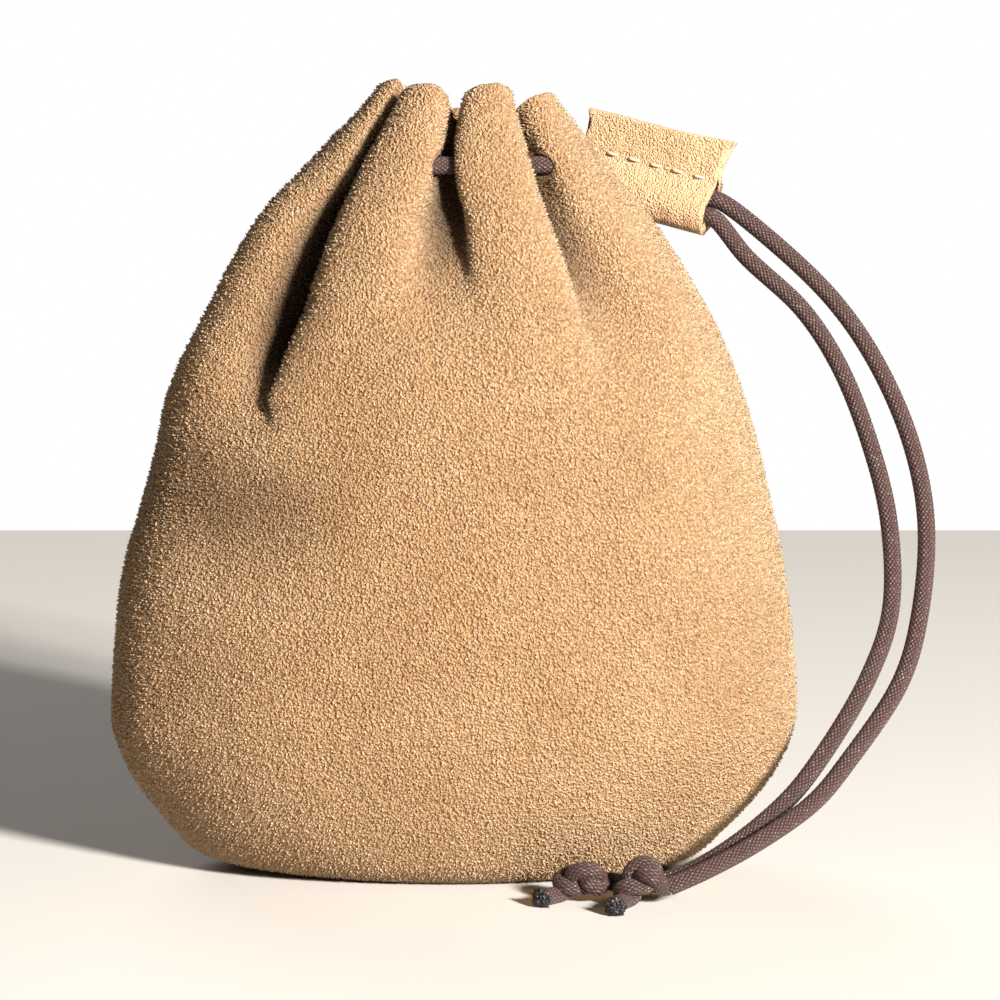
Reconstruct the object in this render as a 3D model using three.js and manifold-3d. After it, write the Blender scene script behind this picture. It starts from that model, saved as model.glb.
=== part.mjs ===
// A small suede drawstring pouch that stands full on a table, its mouth pulled shut by a waxed cord.
// Millimetres, +Z up, front towards -Y. The origin is on the ground under the middle of the body.
import * as THREE from 'three';
import { mergeVertices } from 'three/addons/utils/BufferGeometryUtils.js';
import Module from 'manifold-3d';

const wasm = await Module();
wasm.setup();

// The body
const BAG_HEIGHT = 113.2;
const BAG_WIDTH = 98.2;
const BAG_DEPTH = 51;
const LEATHER = 1.4;
const SEAM_GAP = 0.34;
const BASE_LENGTH = 38;
const BASE_DEPTH = 23;

// The gathered mouth
const MOUTH_WIDTH = 25.5;
const MOUTH_DEPTH = 22.5;
const FOLD_DEPTH = 5.8;
const RIM_DIP = 3.4;
const MOUTH_FOLD_DEPTH = 5.1;
const FLANK_STEEPNESS = 0.72;
const MOUTH_TIGHTNESS = 1.1;

// The drawstring
const CORD = 2.5;
const CLEAR = 0.32;
const LACE_HEIGHT = 101.2;
const CORD_SIDES = 8;
const KNOT_SIDES = 6;

// The slider, a strip of the same suede folded round both cords
const STRIP = 1.3;
const SLIDER_LENGTH = 20.6;
const SLIDER_HEIGHT = 13.6;
const SLIDER_TURN = 20;
const SLIDER_DROP = 13.5;
const SLIDER_AT = new THREE.Vector3(28.4, 15.5, 99.4);
const CORD_SPLIT = 59;

// The free tails, measured from the slider to where the knots lie
const TAIL_OUT = 30;
const TAIL_FORWARD = 38;
const TAIL_HEIGHT = 95;

// The overhand knots
const KNOT_WIDTH = 8.2;
const KNOT_HEIGHT = 5;
const STUB = 6.5;

// Rows of the body from the ground up: height as a share of BAG_HEIGHT, then how far the wall stands
// left and right as shares of half BAG_WIDTH, and front and back as shares of half BAG_DEPTH.
const SECTIONS = [
  { up: 0.010, left: 0.640, right: 0.640, front: 0.560, back: 0.560 },
  { up: 0.024, left: 0.750, right: 0.725, front: 0.640, back: 0.640 },
  { up: 0.048, left: 0.812, right: 0.785, front: 0.720, back: 0.720 },
  { up: 0.080, left: 0.873, right: 0.855, front: 0.800, back: 0.800 },
  { up: 0.125, left: 0.945, right: 0.930, front: 0.880, back: 0.880 },
  { up: 0.175, left: 0.994, right: 0.985, front: 0.945, back: 0.940 },
  { up: 0.215, left: 1.000, right: 1.000, front: 0.978, back: 0.970 },
  { up: 0.275, left: 0.990, right: 0.996, front: 1.000, back: 0.995 },
  { up: 0.360, left: 0.966, right: 0.974, front: 1.000, back: 1.000 },
  { up: 0.450, left: 0.920, right: 0.933, front: 0.985, back: 0.985 },
  { up: 0.540, left: 0.860, right: 0.888, front: 0.955, back: 0.955 },
  { up: 0.625, left: 0.794, right: 0.830, front: 0.910, back: 0.910 },
  { up: 0.700, left: 0.722, right: 0.756, front: 0.855, back: 0.860 },
  { up: 0.770, left: 0.640, right: 0.662, front: 0.785, back: 0.790 },
  { up: 0.830, left: 0.553, right: 0.567, front: 0.715, back: 0.715 },
  { up: 0.890, left: 0.424, right: 0.448, front: 0.630, back: 0.625 },
];

// Ridges of the gathered mouth, seen from above: azimuth in degrees from the front towards +X, and how
// far the ridge's rim stands below the highest one, as a share of RIM_DIP.
const RIDGES = [
  { azimuth: -80, drop: 0.00 },
  { azimuth: -23, drop: 0.22 },
  { azimuth: 17, drop: 0.25 },
  { azimuth: 60, drop: 0.65 },
  { azimuth: 101, drop: 0.75 },
  { azimuth: 141, drop: 0.60 },
  { azimuth: 182, drop: 0.35 },
  { azimuth: 224, drop: 0.10 },
];

// Valleys between them: azimuth, depth as a share of FOLD_DEPTH, the height shares of BAG_HEIGHT where the
// crease starts and where it has its full depth, how tight it is (0 even, 1 a slot), and how far its floor
// slips under the next fold, in degrees.
const VALLEYS = [
  { azimuth: -52, depth: 1.90, from: 0.54, full: 0.73, tight: 0.95, slip: 8 },
  { azimuth: -3, depth: 1.00, from: 0.69, full: 0.87, tight: 0.88, slip: 0 },
  { azimuth: 38.5, depth: 0.97, from: 0.62, full: 0.86, tight: 0.86, slip: -3 },
  { azimuth: 81, depth: 0.90, from: 0.70, full: 0.87, tight: 0.80, slip: 0 },
  { azimuth: 121, depth: 0.95, from: 0.68, full: 0.87, tight: 0.80, slip: 0 },
  { azimuth: 161.5, depth: 1.00, from: 0.60, full: 0.85, tight: 0.85, slip: 0 },
  { azimuth: 203, depth: 1.10, from: 0.58, full: 0.84, tight: 0.85, slip: 3 },
  { azimuth: 250, depth: 1.30, from: 0.56, full: 0.80, tight: 0.88, slip: -5 },
];

// Chosen points of each tail: out to the right, forward, and up, as shares of TAIL_OUT, TAIL_FORWARD and
// TAIL_HEIGHT, measured from the slider's mouth on the ground.
const OUTER_TAIL = [
  { out: 0.28, forward: 0.05, up: 0.945 },
  { out: 0.56, forward: 0.13, up: 0.857 },
  { out: 0.76, forward: 0.21, up: 0.768 },
  { out: 0.93, forward: 0.32, up: 0.650 },
  { out: 0.99, forward: 0.42, up: 0.535 },
  { out: 0.96, forward: 0.55, up: 0.403 },
  { out: 0.86, forward: 0.66, up: 0.308 },
  { out: 0.60, forward: 0.79, up: 0.197 },
  { out: 0.44, forward: 0.85, up: 0.142 },
  { out: 0.17, forward: 0.93, up: 0.088 },
  { out: -0.08, forward: 0.985, up: 0.050 },
];
const INNER_TAIL = [
  { out: 0.14, forward: 0.03, up: 0.920 },
  { out: 0.39, forward: 0.10, up: 0.840 },
  { out: 0.56, forward: 0.18, up: 0.757 },
  { out: 0.72, forward: 0.28, up: 0.642 },
  { out: 0.81, forward: 0.38, up: 0.530 },
  { out: 0.81, forward: 0.51, up: 0.401 },
  { out: 0.71, forward: 0.60, up: 0.306 },
  { out: 0.47, forward: 0.73, up: 0.193 },
  { out: 0.32, forward: 0.78, up: 0.138 },
  { out: 0.06, forward: 0.84, up: 0.074 },
  { out: -0.17, forward: 0.850, up: 0.033 },
  { out: -0.38, forward: 0.848, up: 0.016 },
];
const KNOTS = {
  outer: { out: -0.385, forward: 1.02, turn: 192, stub: 238 },
  inner: { out: -0.650, forward: 0.95, turn: 204, stub: 207 },
};

// How finely the panels are divided
const COLUMN_STEPS = [{ under: 12, count: 2 }, { under: 90, count: 4 }];
const BASE_ROWS = [0, 0.55, 1];
const BODY_ROWS = [0.010, 0.032, 0.065, 0.110, 0.170, 0.245, 0.335, 0.430, 0.515, 0.585, 0.645, 0.700,
  0.750, 0.795, 0.836, 0.878, 0.922];
const RIM_ROWS = [0.5, 1];

const RAD = Math.PI / 180;

// A smooth curve through the rows of a table, read at one height share
function read(table, up, key) {
  const last = table.length - 1;
  if (up <= table[0].up) {
    return table[0][key];
  }
  let i = 0;
  while (i < last - 1 && up > table[i + 1].up) {
    i += 1;
  }
  const at = (k) => table[Math.min(Math.max(k, 0), last)];
  const slope = (k) => {
    const a = at(k - 1);
    const b = at(k + 1);
    return (b[key] - a[key]) / (b.up - a.up);
  };
  const width = table[i + 1].up - table[i].up;
  const t = Math.min(Math.max((up - table[i].up) / width, 0), 1);
  const t2 = t * t;
  const t3 = t2 * t;
  return (2 * t3 - 3 * t2 + 1) * table[i][key] + (t3 - 2 * t2 + t) * width * slope(i)
    + (3 * t2 - 2 * t3) * table[i + 1][key] + (t3 - t2) * width * slope(i + 1);
}

function ease(t) {
  const s = Math.min(Math.max(t, 0), 1);
  return s * s * (3 - 2 * s);
}

// The body's plain section at a height share, before it is folded
const TOP_ROW = { up: 1, left: (MOUTH_WIDTH - 1.5) / BAG_WIDTH, right: (MOUTH_WIDTH + 1.5) / BAG_WIDTH,
  front: MOUTH_DEPTH / BAG_DEPTH, back: MOUTH_DEPTH / BAG_DEPTH };
const ROWS = [...SECTIONS, TOP_ROW];
function section(up) {
  return {
    left: read(ROWS, up, 'left') * BAG_WIDTH / 2,
    right: read(ROWS, up, 'right') * BAG_WIDTH / 2,
    front: read(ROWS, up, 'front') * BAG_DEPTH / 2,
    back: read(ROWS, up, 'back') * BAG_DEPTH / 2,
  };
}

// Ridges and valleys in order round the mouth, each flank running from one ridge to one valley
const STATIONS = [
  ...RIDGES.map((r) => ({ ...r, ridge: true })),
  ...VALLEYS.map((v) => ({ ...v, ridge: false })),
].sort((a, b) => a.azimuth - b.azimuth);

function flank(azimuth) {
  const n = STATIONS.length;
  let a = ((azimuth - STATIONS[0].azimuth) % 360 + 360) % 360 + STATIONS[0].azimuth;
  for (let i = 0; i < n; i += 1) {
    const here = STATIONS[i];
    const next = STATIONS[(i + 1) % n];
    const end = next.azimuth + (i === n - 1 ? 360 : 0);
    if (a <= end + 1e-9) {
      const s = (a - here.azimuth) / (end - here.azimuth);
      const turns = azimuth - a;
      return here.ridge
        ? { ridge: here, valley: next, from: here.azimuth + turns, span: end - here.azimuth, s }
        : { ridge: next, valley: here, from: end + turns, span: here.azimuth - end, s: 1 - s };
    }
  }
  throw new Error('no flank at ' + azimuth);
}

// The outer face of the body at an azimuth in degrees and a height share; along the rim the height
// share 1 is the rim itself, which dips between the folds.
function outside(azimuth, up) {
  const f = flank(azimuth);
  const hollow = (1 - Math.cos(Math.PI * f.s)) / 2;
  const lace = LACE_HEIGHT / BAG_HEIGHT;
  const rise = ease((up - f.valley.from) / (f.valley.full - f.valley.from));
  const drawn = ease((up - lace + 0.04) / (1 - lace + 0.04));
  const depth = rise * (FOLD_DEPTH * f.valley.depth * (1 - drawn) + MOUTH_FOLD_DEPTH * drawn);
  const firm = Math.min(1, depth / (0.6 * FOLD_DEPTH));
  const pinched = ease((up - lace + 0.06) / 0.09);
  const tight = f.valley.tight + (MOUTH_TIGHTNESS - f.valley.tight) * pinched;
  const steep = FLANK_STEEPNESS + (MOUTH_TIGHTNESS - FLANK_STEEPNESS) * pinched;
  const spread = tight * Math.sin(Math.PI * f.s) / Math.PI
    + steep * Math.sin(2 * Math.PI * f.s) / (2 * Math.PI);
  const phi = (f.from + f.span * (f.s + firm * spread) + firm * f.valley.slip * hollow * hollow) * RAD;
  const c = section(up);
  const halfX = (c.left + c.right) / 2;
  const midX = (c.right - c.left) / 2;
  const halfY = (c.front + c.back) / 2;
  const midY = (c.back - c.front) / 2;
  const nx = Math.sin(phi) / halfX;
  const ny = -Math.cos(phi) / halfY;
  const long = Math.hypot(nx, ny);
  const rimDrop = RIM_DIP * (f.ridge.drop * (1 - hollow) + (1 + 0.4 * f.ridge.drop) * hollow);
  const z = up <= lace ? up * BAG_HEIGHT
    : LACE_HEIGHT + (BAG_HEIGHT - rimDrop - LACE_HEIGHT) * (up - lace) / (1 - lace);
  return new THREE.Vector3(midX + halfX * Math.sin(phi) - depth * hollow * nx / long,
    midY - halfY * Math.cos(phi) - depth * hollow * ny / long, z);
}

// The flat base, from the bottom seam (0) out to the first turned-up row (1)
function underside(azimuth, t) {
  const foot = outside(azimuth, BODY_ROWS[0]);
  const inX = BASE_LENGTH / 2 * Math.sin(azimuth * RAD) * (0.86 + 0.14 * t);
  const inY = -BASE_DEPTH / 2 * Math.cos(azimuth * RAD) * t;
  return new THREE.Vector3(inX + 0 * foot.x, inY, 0);
}

const ROW_COUNT = BASE_ROWS.length + BODY_ROWS.length + RIM_ROWS.length;
const LACE_SHARE = BODY_ROWS[BODY_ROWS.length - 1];
function skin(azimuth, row) {
  if (row < BASE_ROWS.length) {
    return underside(azimuth, BASE_ROWS[row]);
  }
  if (row < BASE_ROWS.length + BODY_ROWS.length) {
    return outside(azimuth, BODY_ROWS[row - BASE_ROWS.length]);
  }
  const t = RIM_ROWS[row - BASE_ROWS.length - BODY_ROWS.length];
  return outside(azimuth, LACE_SHARE + (1 - LACE_SHARE) * t);
}

// The outward direction of the leather, from its neighbours along and across
function outward(azimuth, row) {
  if (row < BASE_ROWS.length - 1) {
    return new THREE.Vector3(0, 0, -1);
  }
  const step = 0.4;
  const across = skin(azimuth + step, row).sub(skin(azimuth - step, row));
  const above = Math.min(row + 1, ROW_COUNT - 1);
  const here = skin(azimuth, row);
  const up = skin(azimuth, above).sub(here).normalize();
  const down = here.clone().sub(skin(azimuth, Math.max(row - 1, 0))).normalize();
  const along = row === ROW_COUNT - 1 ? down : up.add(down);
  return across.cross(along).normalize();
}

// Where a panel stops short of a seam, so that the two edges keep the seam gap
function seamTrim(seam, row) {
  let trim = 0.02;
  while (trim < 8 && skin(seam - trim, row).distanceTo(skin(seam + trim, row)) < SEAM_GAP) {
    trim *= 1.12;
  }
  return trim;
}

// Columns follow the folds: the same count on each flank, wherever the flank is wide or narrow
function columnsBetween(start, end) {
  const list = [start];
  const edges = [];
  for (const turn of [-360, 0, 360]) {
    for (const s of STATIONS) {
      edges.push(s.azimuth + turn);
    }
  }
  edges.sort((a, b) => a - b);
  const inner = edges.filter((e) => e > start + 6 && e < end - 6);
  const stops = [start, ...inner, end];
  for (let i = 1; i < stops.length; i += 1) {
    const width = stops[i] - stops[i - 1];
    const n = COLUMN_STEPS.find((step) => width < step.under).count;
    for (let k = 1; k <= n; k += 1) {
      list.push(stops[i - 1] + width * k / n);
    }
  }
  return list;
}

function solidFrom(points, faces) {
  const mesh = new wasm.Mesh({
    numProp: 3,
    vertProperties: new Float32Array(points.flatMap((p) => [p.x, p.y, p.z])),
    triVerts: new Uint32Array(faces.flat()),
  });
  return new wasm.Manifold(mesh);
}

function solidOf(geometry) {
  const bare = new THREE.BufferGeometry();
  bare.setAttribute('position', geometry.getAttribute('position').clone());
  if (geometry.index) {
    bare.setIndex(geometry.index.clone());
  }
  const merged = mergeVertices(bare, 1e-4);
  return new wasm.Manifold(new wasm.Mesh({
    numProp: 3,
    vertProperties: new Float32Array(merged.getAttribute('position').array),
    triVerts: new Uint32Array(merged.index.array),
  }));
}

function geometryOf(solid) {
  const mesh = solid.getMesh();
  const geometry = new THREE.BufferGeometry();
  geometry.setAttribute('position', new THREE.BufferAttribute(new Float32Array(mesh.vertProperties), 3));
  geometry.setIndex(new THREE.BufferAttribute(new Uint32Array(mesh.triVerts), 1));
  geometry.computeVertexNormals();
  return geometry;
}

// One panel: outer and inner face of the leather between two seams, closed along all four edges
function panel(startSeam, endSeam) {
  const columns = columnsBetween(startSeam, endSeam);
  const wide = columns.length;
  const points = [];
  for (let row = 0; row < ROW_COUNT; row += 1) {
    const trimA = seamTrim(startSeam, row);
    const trimB = seamTrim(endSeam, row);
    for (const side of [0, 1]) {
      for (let k = 0; k < wide; k += 1) {
        const azimuth = Math.min(Math.max(columns[k], startSeam + trimA), endSeam - trimB);
        const point = skin(azimuth, row);
        point.addScaledVector(outward(azimuth, row), -LEATHER * side);
        if (row === 0) {
          point.y = Math.sign(-Math.cos(RAD * (startSeam + endSeam) / 2)) * SEAM_GAP / 2;
        }
        points.push(point);
      }
    }
  }
  const id = (row, side, k) => (row * 2 + side) * wide + k;
  const faces = [];
  const quad = (a, b, c, d) => {
    faces.push([a, b, c]);
    faces.push([a, c, d]);
  };
  for (let row = 0; row < ROW_COUNT - 1; row += 1) {
    for (let k = 0; k < wide - 1; k += 1) {
      quad(id(row, 0, k), id(row, 0, k + 1), id(row + 1, 0, k + 1), id(row + 1, 0, k));
      quad(id(row, 1, k), id(row + 1, 1, k), id(row + 1, 1, k + 1), id(row, 1, k + 1));
    }
    quad(id(row, 0, 0), id(row + 1, 0, 0), id(row + 1, 1, 0), id(row, 1, 0));
    quad(id(row, 0, wide - 1), id(row, 1, wide - 1), id(row + 1, 1, wide - 1), id(row + 1, 0, wide - 1));
  }
  const top = ROW_COUNT - 1;
  for (let k = 0; k < wide - 1; k += 1) {
    quad(id(0, 0, k), id(0, 1, k), id(0, 1, k + 1), id(0, 0, k + 1));
    quad(id(top, 0, k), id(top, 0, k + 1), id(top, 1, k + 1), id(top, 1, k));
  }
  return solidFrom(points, faces);
}

// A round cord along a curve, as an extruded polygon
function cordAlong(points, diameter, steps, sides = CORD_SIDES) {
  const round = new THREE.Shape();
  for (let k = 0; k < sides; k += 1) {
    const a = 2 * Math.PI * k / sides;
    const x = diameter / 2 * Math.cos(a);
    const y = diameter / 2 * Math.sin(a);
    if (k === 0) {
      round.moveTo(x, y);
    } else {
      round.lineTo(x, y);
    }
  }
  round.closePath();
  const curve = new THREE.CatmullRomCurve3(points, false, 'centripetal');
  curve.arcLengthDivisions = 600;
  return new THREE.ExtrudeGeometry(round, { steps, bevelEnabled: false, extrudePath: curve });
}

// The slider's own directions: along the cords, up its height, and through its thickness
const along = new THREE.Vector3(Math.cos(SLIDER_DROP * RAD) * Math.cos(SLIDER_TURN * RAD),
  -Math.cos(SLIDER_DROP * RAD) * Math.sin(SLIDER_TURN * RAD), -Math.sin(SLIDER_DROP * RAD));
const height = new THREE.Vector3(0, 0, 1).addScaledVector(along, -along.z).normalize();
const through = along.clone().cross(height);
const pitch = CORD + CLEAR;
const splitUp = pitch * Math.sin(CORD_SPLIT * RAD);
const splitThrough = pitch * Math.cos(CORD_SPLIT * RAD);
const tunnelWide = splitThrough + CORD + 2 * CLEAR;
const tunnelHigh = splitUp + CORD + 2 * CLEAR;
const tunnelUp = -SLIDER_HEIGHT / 2 + STRIP + tunnelHigh / 2;
function inSlider(s, lane) {
  return SLIDER_AT.clone()
    .addScaledVector(along, s)
    .addScaledVector(height, tunnelUp + lane * splitUp / 2)
    .addScaledVector(through, -lane * splitThrough / 2);
}

// The folded strip in section: a tunnel below, two layers above it, open at the raw edges
function sliderSolid() {
  const outline = new THREE.Shape();
  const bulge = tunnelWide / 2 + STRIP;
  const flat = STRIP + CLEAR / 2;
  const bottom = -SLIDER_HEIGHT / 2;
  const neck = tunnelUp + tunnelHigh / 2 + STRIP;
  const low = bottom + bulge;
  const high = neck - STRIP - bulge * 0.7;
  const right = [];
  const arc = 8;
  for (let k = 0; k <= arc; k += 1) {
    const a = -Math.PI / 2 + Math.PI / 2 * k / arc;
    right.push([bulge * Math.cos(a), low + bulge * Math.sin(a)]);
  }
  for (let k = 1; k <= 5; k += 1) {
    const t = k / 5;
    right.push([bulge + (flat - bulge) * ease(t), Math.max(high, low + 0.1) + (neck - Math.max(high, low + 0.1)) * t]);
  }
  right.push([flat, SLIDER_HEIGHT / 2]);
  const slit = CLEAR / 2;
  const slitEnd = neck + 0.35 * (SLIDER_HEIGHT / 2 - neck);
  const left = right.slice(1).map(([x, y]) => [-x, y]).reverse();
  const loop = [...right, [slit, SLIDER_HEIGHT / 2], [slit, slitEnd], [-slit, slitEnd],
    [-slit, SLIDER_HEIGHT / 2], ...left];
  loop.forEach(([x, y], i) => (i === 0 ? outline.moveTo(x, y) : outline.lineTo(x, y)));
  outline.closePath();
  const bore = new THREE.Path();
  const sides = 20;
  for (let k = 0; k < sides; k += 1) {
    const a = 2 * Math.PI * (k + 0.5) / sides;
    const lane = Math.cos(a) * splitThrough + Math.sin(a) * splitUp > 0 ? 0.5 : -0.5;
    const x = lane * splitThrough + (CORD / 2 + CLEAR) * 1.02 * Math.cos(a);
    const y = tunnelUp + lane * splitUp + (CORD / 2 + CLEAR) * 1.02 * Math.sin(a);
    if (k === 0) {
      bore.moveTo(x, y);
    } else {
      bore.lineTo(x, y);
    }
  }
  bore.closePath();
  outline.holes.push(bore);
  const strip = new THREE.ExtrudeGeometry(outline, { depth: SLIDER_LENGTH, steps: 1, bevelEnabled: false });
  strip.translate(0, 0, -SLIDER_LENGTH / 2);
  strip.applyMatrix4(new THREE.Matrix4().makeBasis(through.clone().negate(), height, along));
  strip.translate(SLIDER_AT.x, SLIDER_AT.y, SLIDER_AT.z);
  return strip;
}

// The lace line round the neck: outside the leather in each valley, inside it behind each ridge
const laceSink = LEATHER + CORD / 2 + 1.2 * CLEAR;
function lacePoint(azimuth, rise) {
  const c = section(LACE_HEIGHT / BAG_HEIGHT);
  const halfX = (c.left + c.right) / 2 - laceSink;
  const halfY = (c.front + c.back) / 2 - laceSink;
  return new THREE.Vector3((c.right - c.left) / 2 + halfX * Math.sin(azimuth * RAD),
    (c.back - c.front) / 2 - halfY * Math.cos(azimuth * RAD), LACE_HEIGHT + rise);
}

// Both ends leave through the back of the neck, cross one above the other and run into the slider: the
// upper one turns round a circle behind the neck, the lower one comes straight from the other side.
const crossing = CORD + 2 * CLEAR;
const turnRadius = 2 * CORD;
const entryUpper = inSlider(-SLIDER_LENGTH / 2 - CORD / 2, 1);
const entryLower = inSlider(-SLIDER_LENGTH / 2 - CORD / 2, -1);
const turnCentre = entryUpper.clone().addScaledVector(along, -0.85 * turnRadius)
  .add(new THREE.Vector3(0, -0.95 * turnRadius, 0));
function turnPoint(degrees) {
  return new THREE.Vector3(turnCentre.x + turnRadius * Math.cos(degrees * RAD),
    turnCentre.y + turnRadius * Math.sin(degrees * RAD), LACE_HEIGHT + crossing * 0.5);
}
const laceEnd = SLIDER_LENGTH / 2 - 2 * CORD;
const loopPoints = [
  inSlider(laceEnd, 1),
  inSlider(laceEnd * 0.5, 1),
  inSlider(0, 1),
  inSlider(-SLIDER_LENGTH / 2 + CORD, 1),
  entryUpper,
  turnPoint(95),
  turnPoint(140),
  turnPoint(185),
  turnPoint(228),
];
for (let azimuth = 116; azimuth >= -188; azimuth -= 13) {
  loopPoints.push(lacePoint(azimuth, crossing * 0.5 * ease((azimuth - 60) / 56)
    - crossing * 0.5 * ease((-130 - azimuth) / 56)));
}
loopPoints.push(entryLower.clone().addScaledVector(along, -2.1 * turnRadius)
  .add(new THREE.Vector3(0, -1.35 * turnRadius, -0.35)));
loopPoints.push(entryLower.clone().addScaledVector(along, -1.0 * turnRadius)
  .add(new THREE.Vector3(0, -0.42 * turnRadius, -0.35)));
loopPoints.push(entryLower);
loopPoints.push(inSlider(-SLIDER_LENGTH / 2 + CORD, -1));
loopPoints.push(inSlider(0, -1));
loopPoints.push(inSlider(laceEnd * 0.5, -1));
loopPoints.push(inSlider(laceEnd, -1));

// Tails: from inside the slider's right mouth, down and round to the front of the body
const mouthPoint = inSlider(SLIDER_LENGTH / 2, 0);
function tailPoint(row) {
  return new THREE.Vector3(mouthPoint.x + row.out * TAIL_OUT, mouthPoint.y - row.forward * TAIL_FORWARD,
    row.up * TAIL_HEIGHT);
}
function knotCentre(k) {
  const p = tailPoint({ out: k.out, forward: k.forward, up: 0 });
  p.z = KNOT_HEIGHT / 2 + CLEAR / 2;
  return p;
}
function knotDirection(degrees) {
  return new THREE.Vector3(Math.cos(degrees * RAD), Math.sin(degrees * RAD), 0);
}
function tailPoints(rows, lane, knot) {
  const gate = knotCentre(knot).addScaledVector(knotDirection(knot.turn), -KNOT_WIDTH / 2 - CLEAR);
  gate.z = Math.max(gate.z, CORD / 2 + CLEAR / 2);
  return [inSlider(laceEnd + CLEAR, lane), inSlider(SLIDER_LENGTH / 2 - 0.4 * CORD, lane),
    inSlider(SLIDER_LENGTH / 2 + 0.4 * CORD, lane),
    ...rows.map(tailPoint), gate];
}

// An overhand knot pulled tight: the cord winds once through its own loop and ends in a short stub
function knotSolid(knot) {
  const centre = knotCentre(knot);
  const turn = knotDirection(knot.turn);
  const side = new THREE.Vector3(-turn.y, turn.x, 0);
  const reach = (KNOT_WIDTH - CORD) / 2;
  const lift = (KNOT_HEIGHT - CORD) / 2;
  const at = (t) => {
    const r = reach * (2 + Math.cos(1.5 * t)) / 3;
    return centre.clone()
      .addScaledVector(turn, -r * Math.cos(t))
      .addScaledVector(side, -r * Math.sin(t))
      .add(new THREE.Vector3(0, 0, lift * Math.sin(1.5 * t)));
  };
  const pieces = [];
  const turns = 4 * Math.PI;
  const parts = 4;
  for (let i = 0; i < parts; i += 1) {
    const list = [];
    for (let k = -1; k <= 6; k += 1) {
      list.push(at(turns * (i + k / 5) / parts));
    }
    pieces.push(cordAlong(list, CORD, 6, KNOT_SIDES));
  }
  const tip = centre.clone().addScaledVector(knotDirection(knot.stub), KNOT_WIDTH / 2 + STUB - CORD / 2);
  tip.z = CORD / 2 + CLEAR / 4;
  const root = centre.clone().addScaledVector(knotDirection(knot.stub), reach * 0.4);
  pieces.push(cordAlong([root, root.clone().lerp(tip, 0.5), tip], CORD, 2, KNOT_SIDES));
  const core = new THREE.SphereGeometry(1, 8, 6);
  core.scale(0.86 * reach, 0.86 * reach, lift + 0.35 * CORD);
  pieces.push(core.translate(centre.x, centre.y, centre.z));
  return pieces.map(solidOf).reduce((whole, piece) => whole.add(piece));
}

// Everything that the cord passes is cut by a slightly fatter cord on the same line
const lacing = solidOf(cordAlong(loopPoints, CORD + 2 * CLEAR, 52));
const frontSolid = panel(-90, 90).subtract(lacing);
const backSolid = panel(90, 270).subtract(lacing);

const suede = new THREE.MeshStandardMaterial({ color: 0xcfa169, roughness: 0.95, metalness: 0 });
const suedeBack = new THREE.MeshStandardMaterial({ color: 0xc99a63, roughness: 0.95, metalness: 0 });
const suedeStrip = new THREE.MeshStandardMaterial({ color: 0xd4a66d, roughness: 0.95, metalness: 0 });
const waxedCord = new THREE.MeshStandardMaterial({ color: 0x5a4240, roughness: 0.45, metalness: 0 });

const group = new THREE.Group();
function place(name, geometry, material) {
  const mesh = new THREE.Mesh(geometry, material.clone());
  mesh.name = name;
  group.add(mesh);
}

place('front_panel', geometryOf(frontSolid), suede);
place('back_panel', geometryOf(backSolid), suedeBack);
place('cord_slider', sliderSolid(), suedeStrip);
place('drawstring_mouth', cordAlong(loopPoints, CORD, 52), waxedCord);
place('tail_outer', cordAlong(tailPoints(OUTER_TAIL, 1, KNOTS.outer), CORD, 33), waxedCord);
place('tail_inner', cordAlong(tailPoints(INNER_TAIL, -1, KNOTS.inner), CORD, 33), waxedCord);
place('knot_outer', geometryOf(knotSolid(KNOTS.outer)), waxedCord);
place('knot_inner', geometryOf(knotSolid(KNOTS.inner)), waxedCord);

export default group;
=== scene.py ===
# %% [markdown]
# # A suede drawstring pouch
# A small pouch of rough tan suede stands full on a pale table. Two panels are sewn together inside out, the
# mouth is gathered into folds by a waxed cord, and both ends of the cord run through a folded suede slider,
# hang down in an arc and end in overhand knots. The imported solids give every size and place; this file
# dresses them.

# %% Load the fixed model
import bpy
import bmesh
import math
import numpy as np
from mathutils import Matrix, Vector, noise


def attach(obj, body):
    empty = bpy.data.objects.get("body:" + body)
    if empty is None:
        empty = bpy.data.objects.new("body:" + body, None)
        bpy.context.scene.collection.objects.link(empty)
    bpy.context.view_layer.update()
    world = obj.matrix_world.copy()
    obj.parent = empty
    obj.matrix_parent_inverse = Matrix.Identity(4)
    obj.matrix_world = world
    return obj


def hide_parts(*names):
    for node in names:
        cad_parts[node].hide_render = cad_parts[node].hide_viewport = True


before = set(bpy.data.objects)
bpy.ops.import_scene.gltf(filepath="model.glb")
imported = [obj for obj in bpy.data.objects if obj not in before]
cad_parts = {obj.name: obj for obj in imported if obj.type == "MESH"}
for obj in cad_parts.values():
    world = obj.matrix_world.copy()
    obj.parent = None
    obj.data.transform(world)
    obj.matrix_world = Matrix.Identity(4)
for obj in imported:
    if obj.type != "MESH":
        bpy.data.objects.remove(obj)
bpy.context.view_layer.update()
MM = 0.001

# %% [markdown]
# ## The camera
# The picture was taken with a long lens from a little above the table: the far edge of the table shows well
# below the middle of the pouch, and the mouth is seen almost from the side. A long lens keeps the near knots
# and the far slider in nearly the same scale, so the camera stands about half a metre away.

# %% The camera
AIM = Vector((6.7, 0.0, 53.2)) * MM
CAMERA_DISTANCE = 520 * MM
CAMERA_RISE = math.radians(7)
camera_data = bpy.data.cameras.new("camera")
camera_data.sensor_width = 36
camera_data.lens = 130.9
camera = bpy.data.objects.new("camera", camera_data)
bpy.context.collection.objects.link(camera)
camera.location = AIM + Vector((0, -math.cos(CAMERA_RISE), math.sin(CAMERA_RISE))) * CAMERA_DISTANCE
camera.rotation_euler = (math.pi / 2 - CAMERA_RISE, 0, 0)
bpy.context.scene.camera = camera
print("camera at", [round(c, 4) for c in camera.location])

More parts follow.
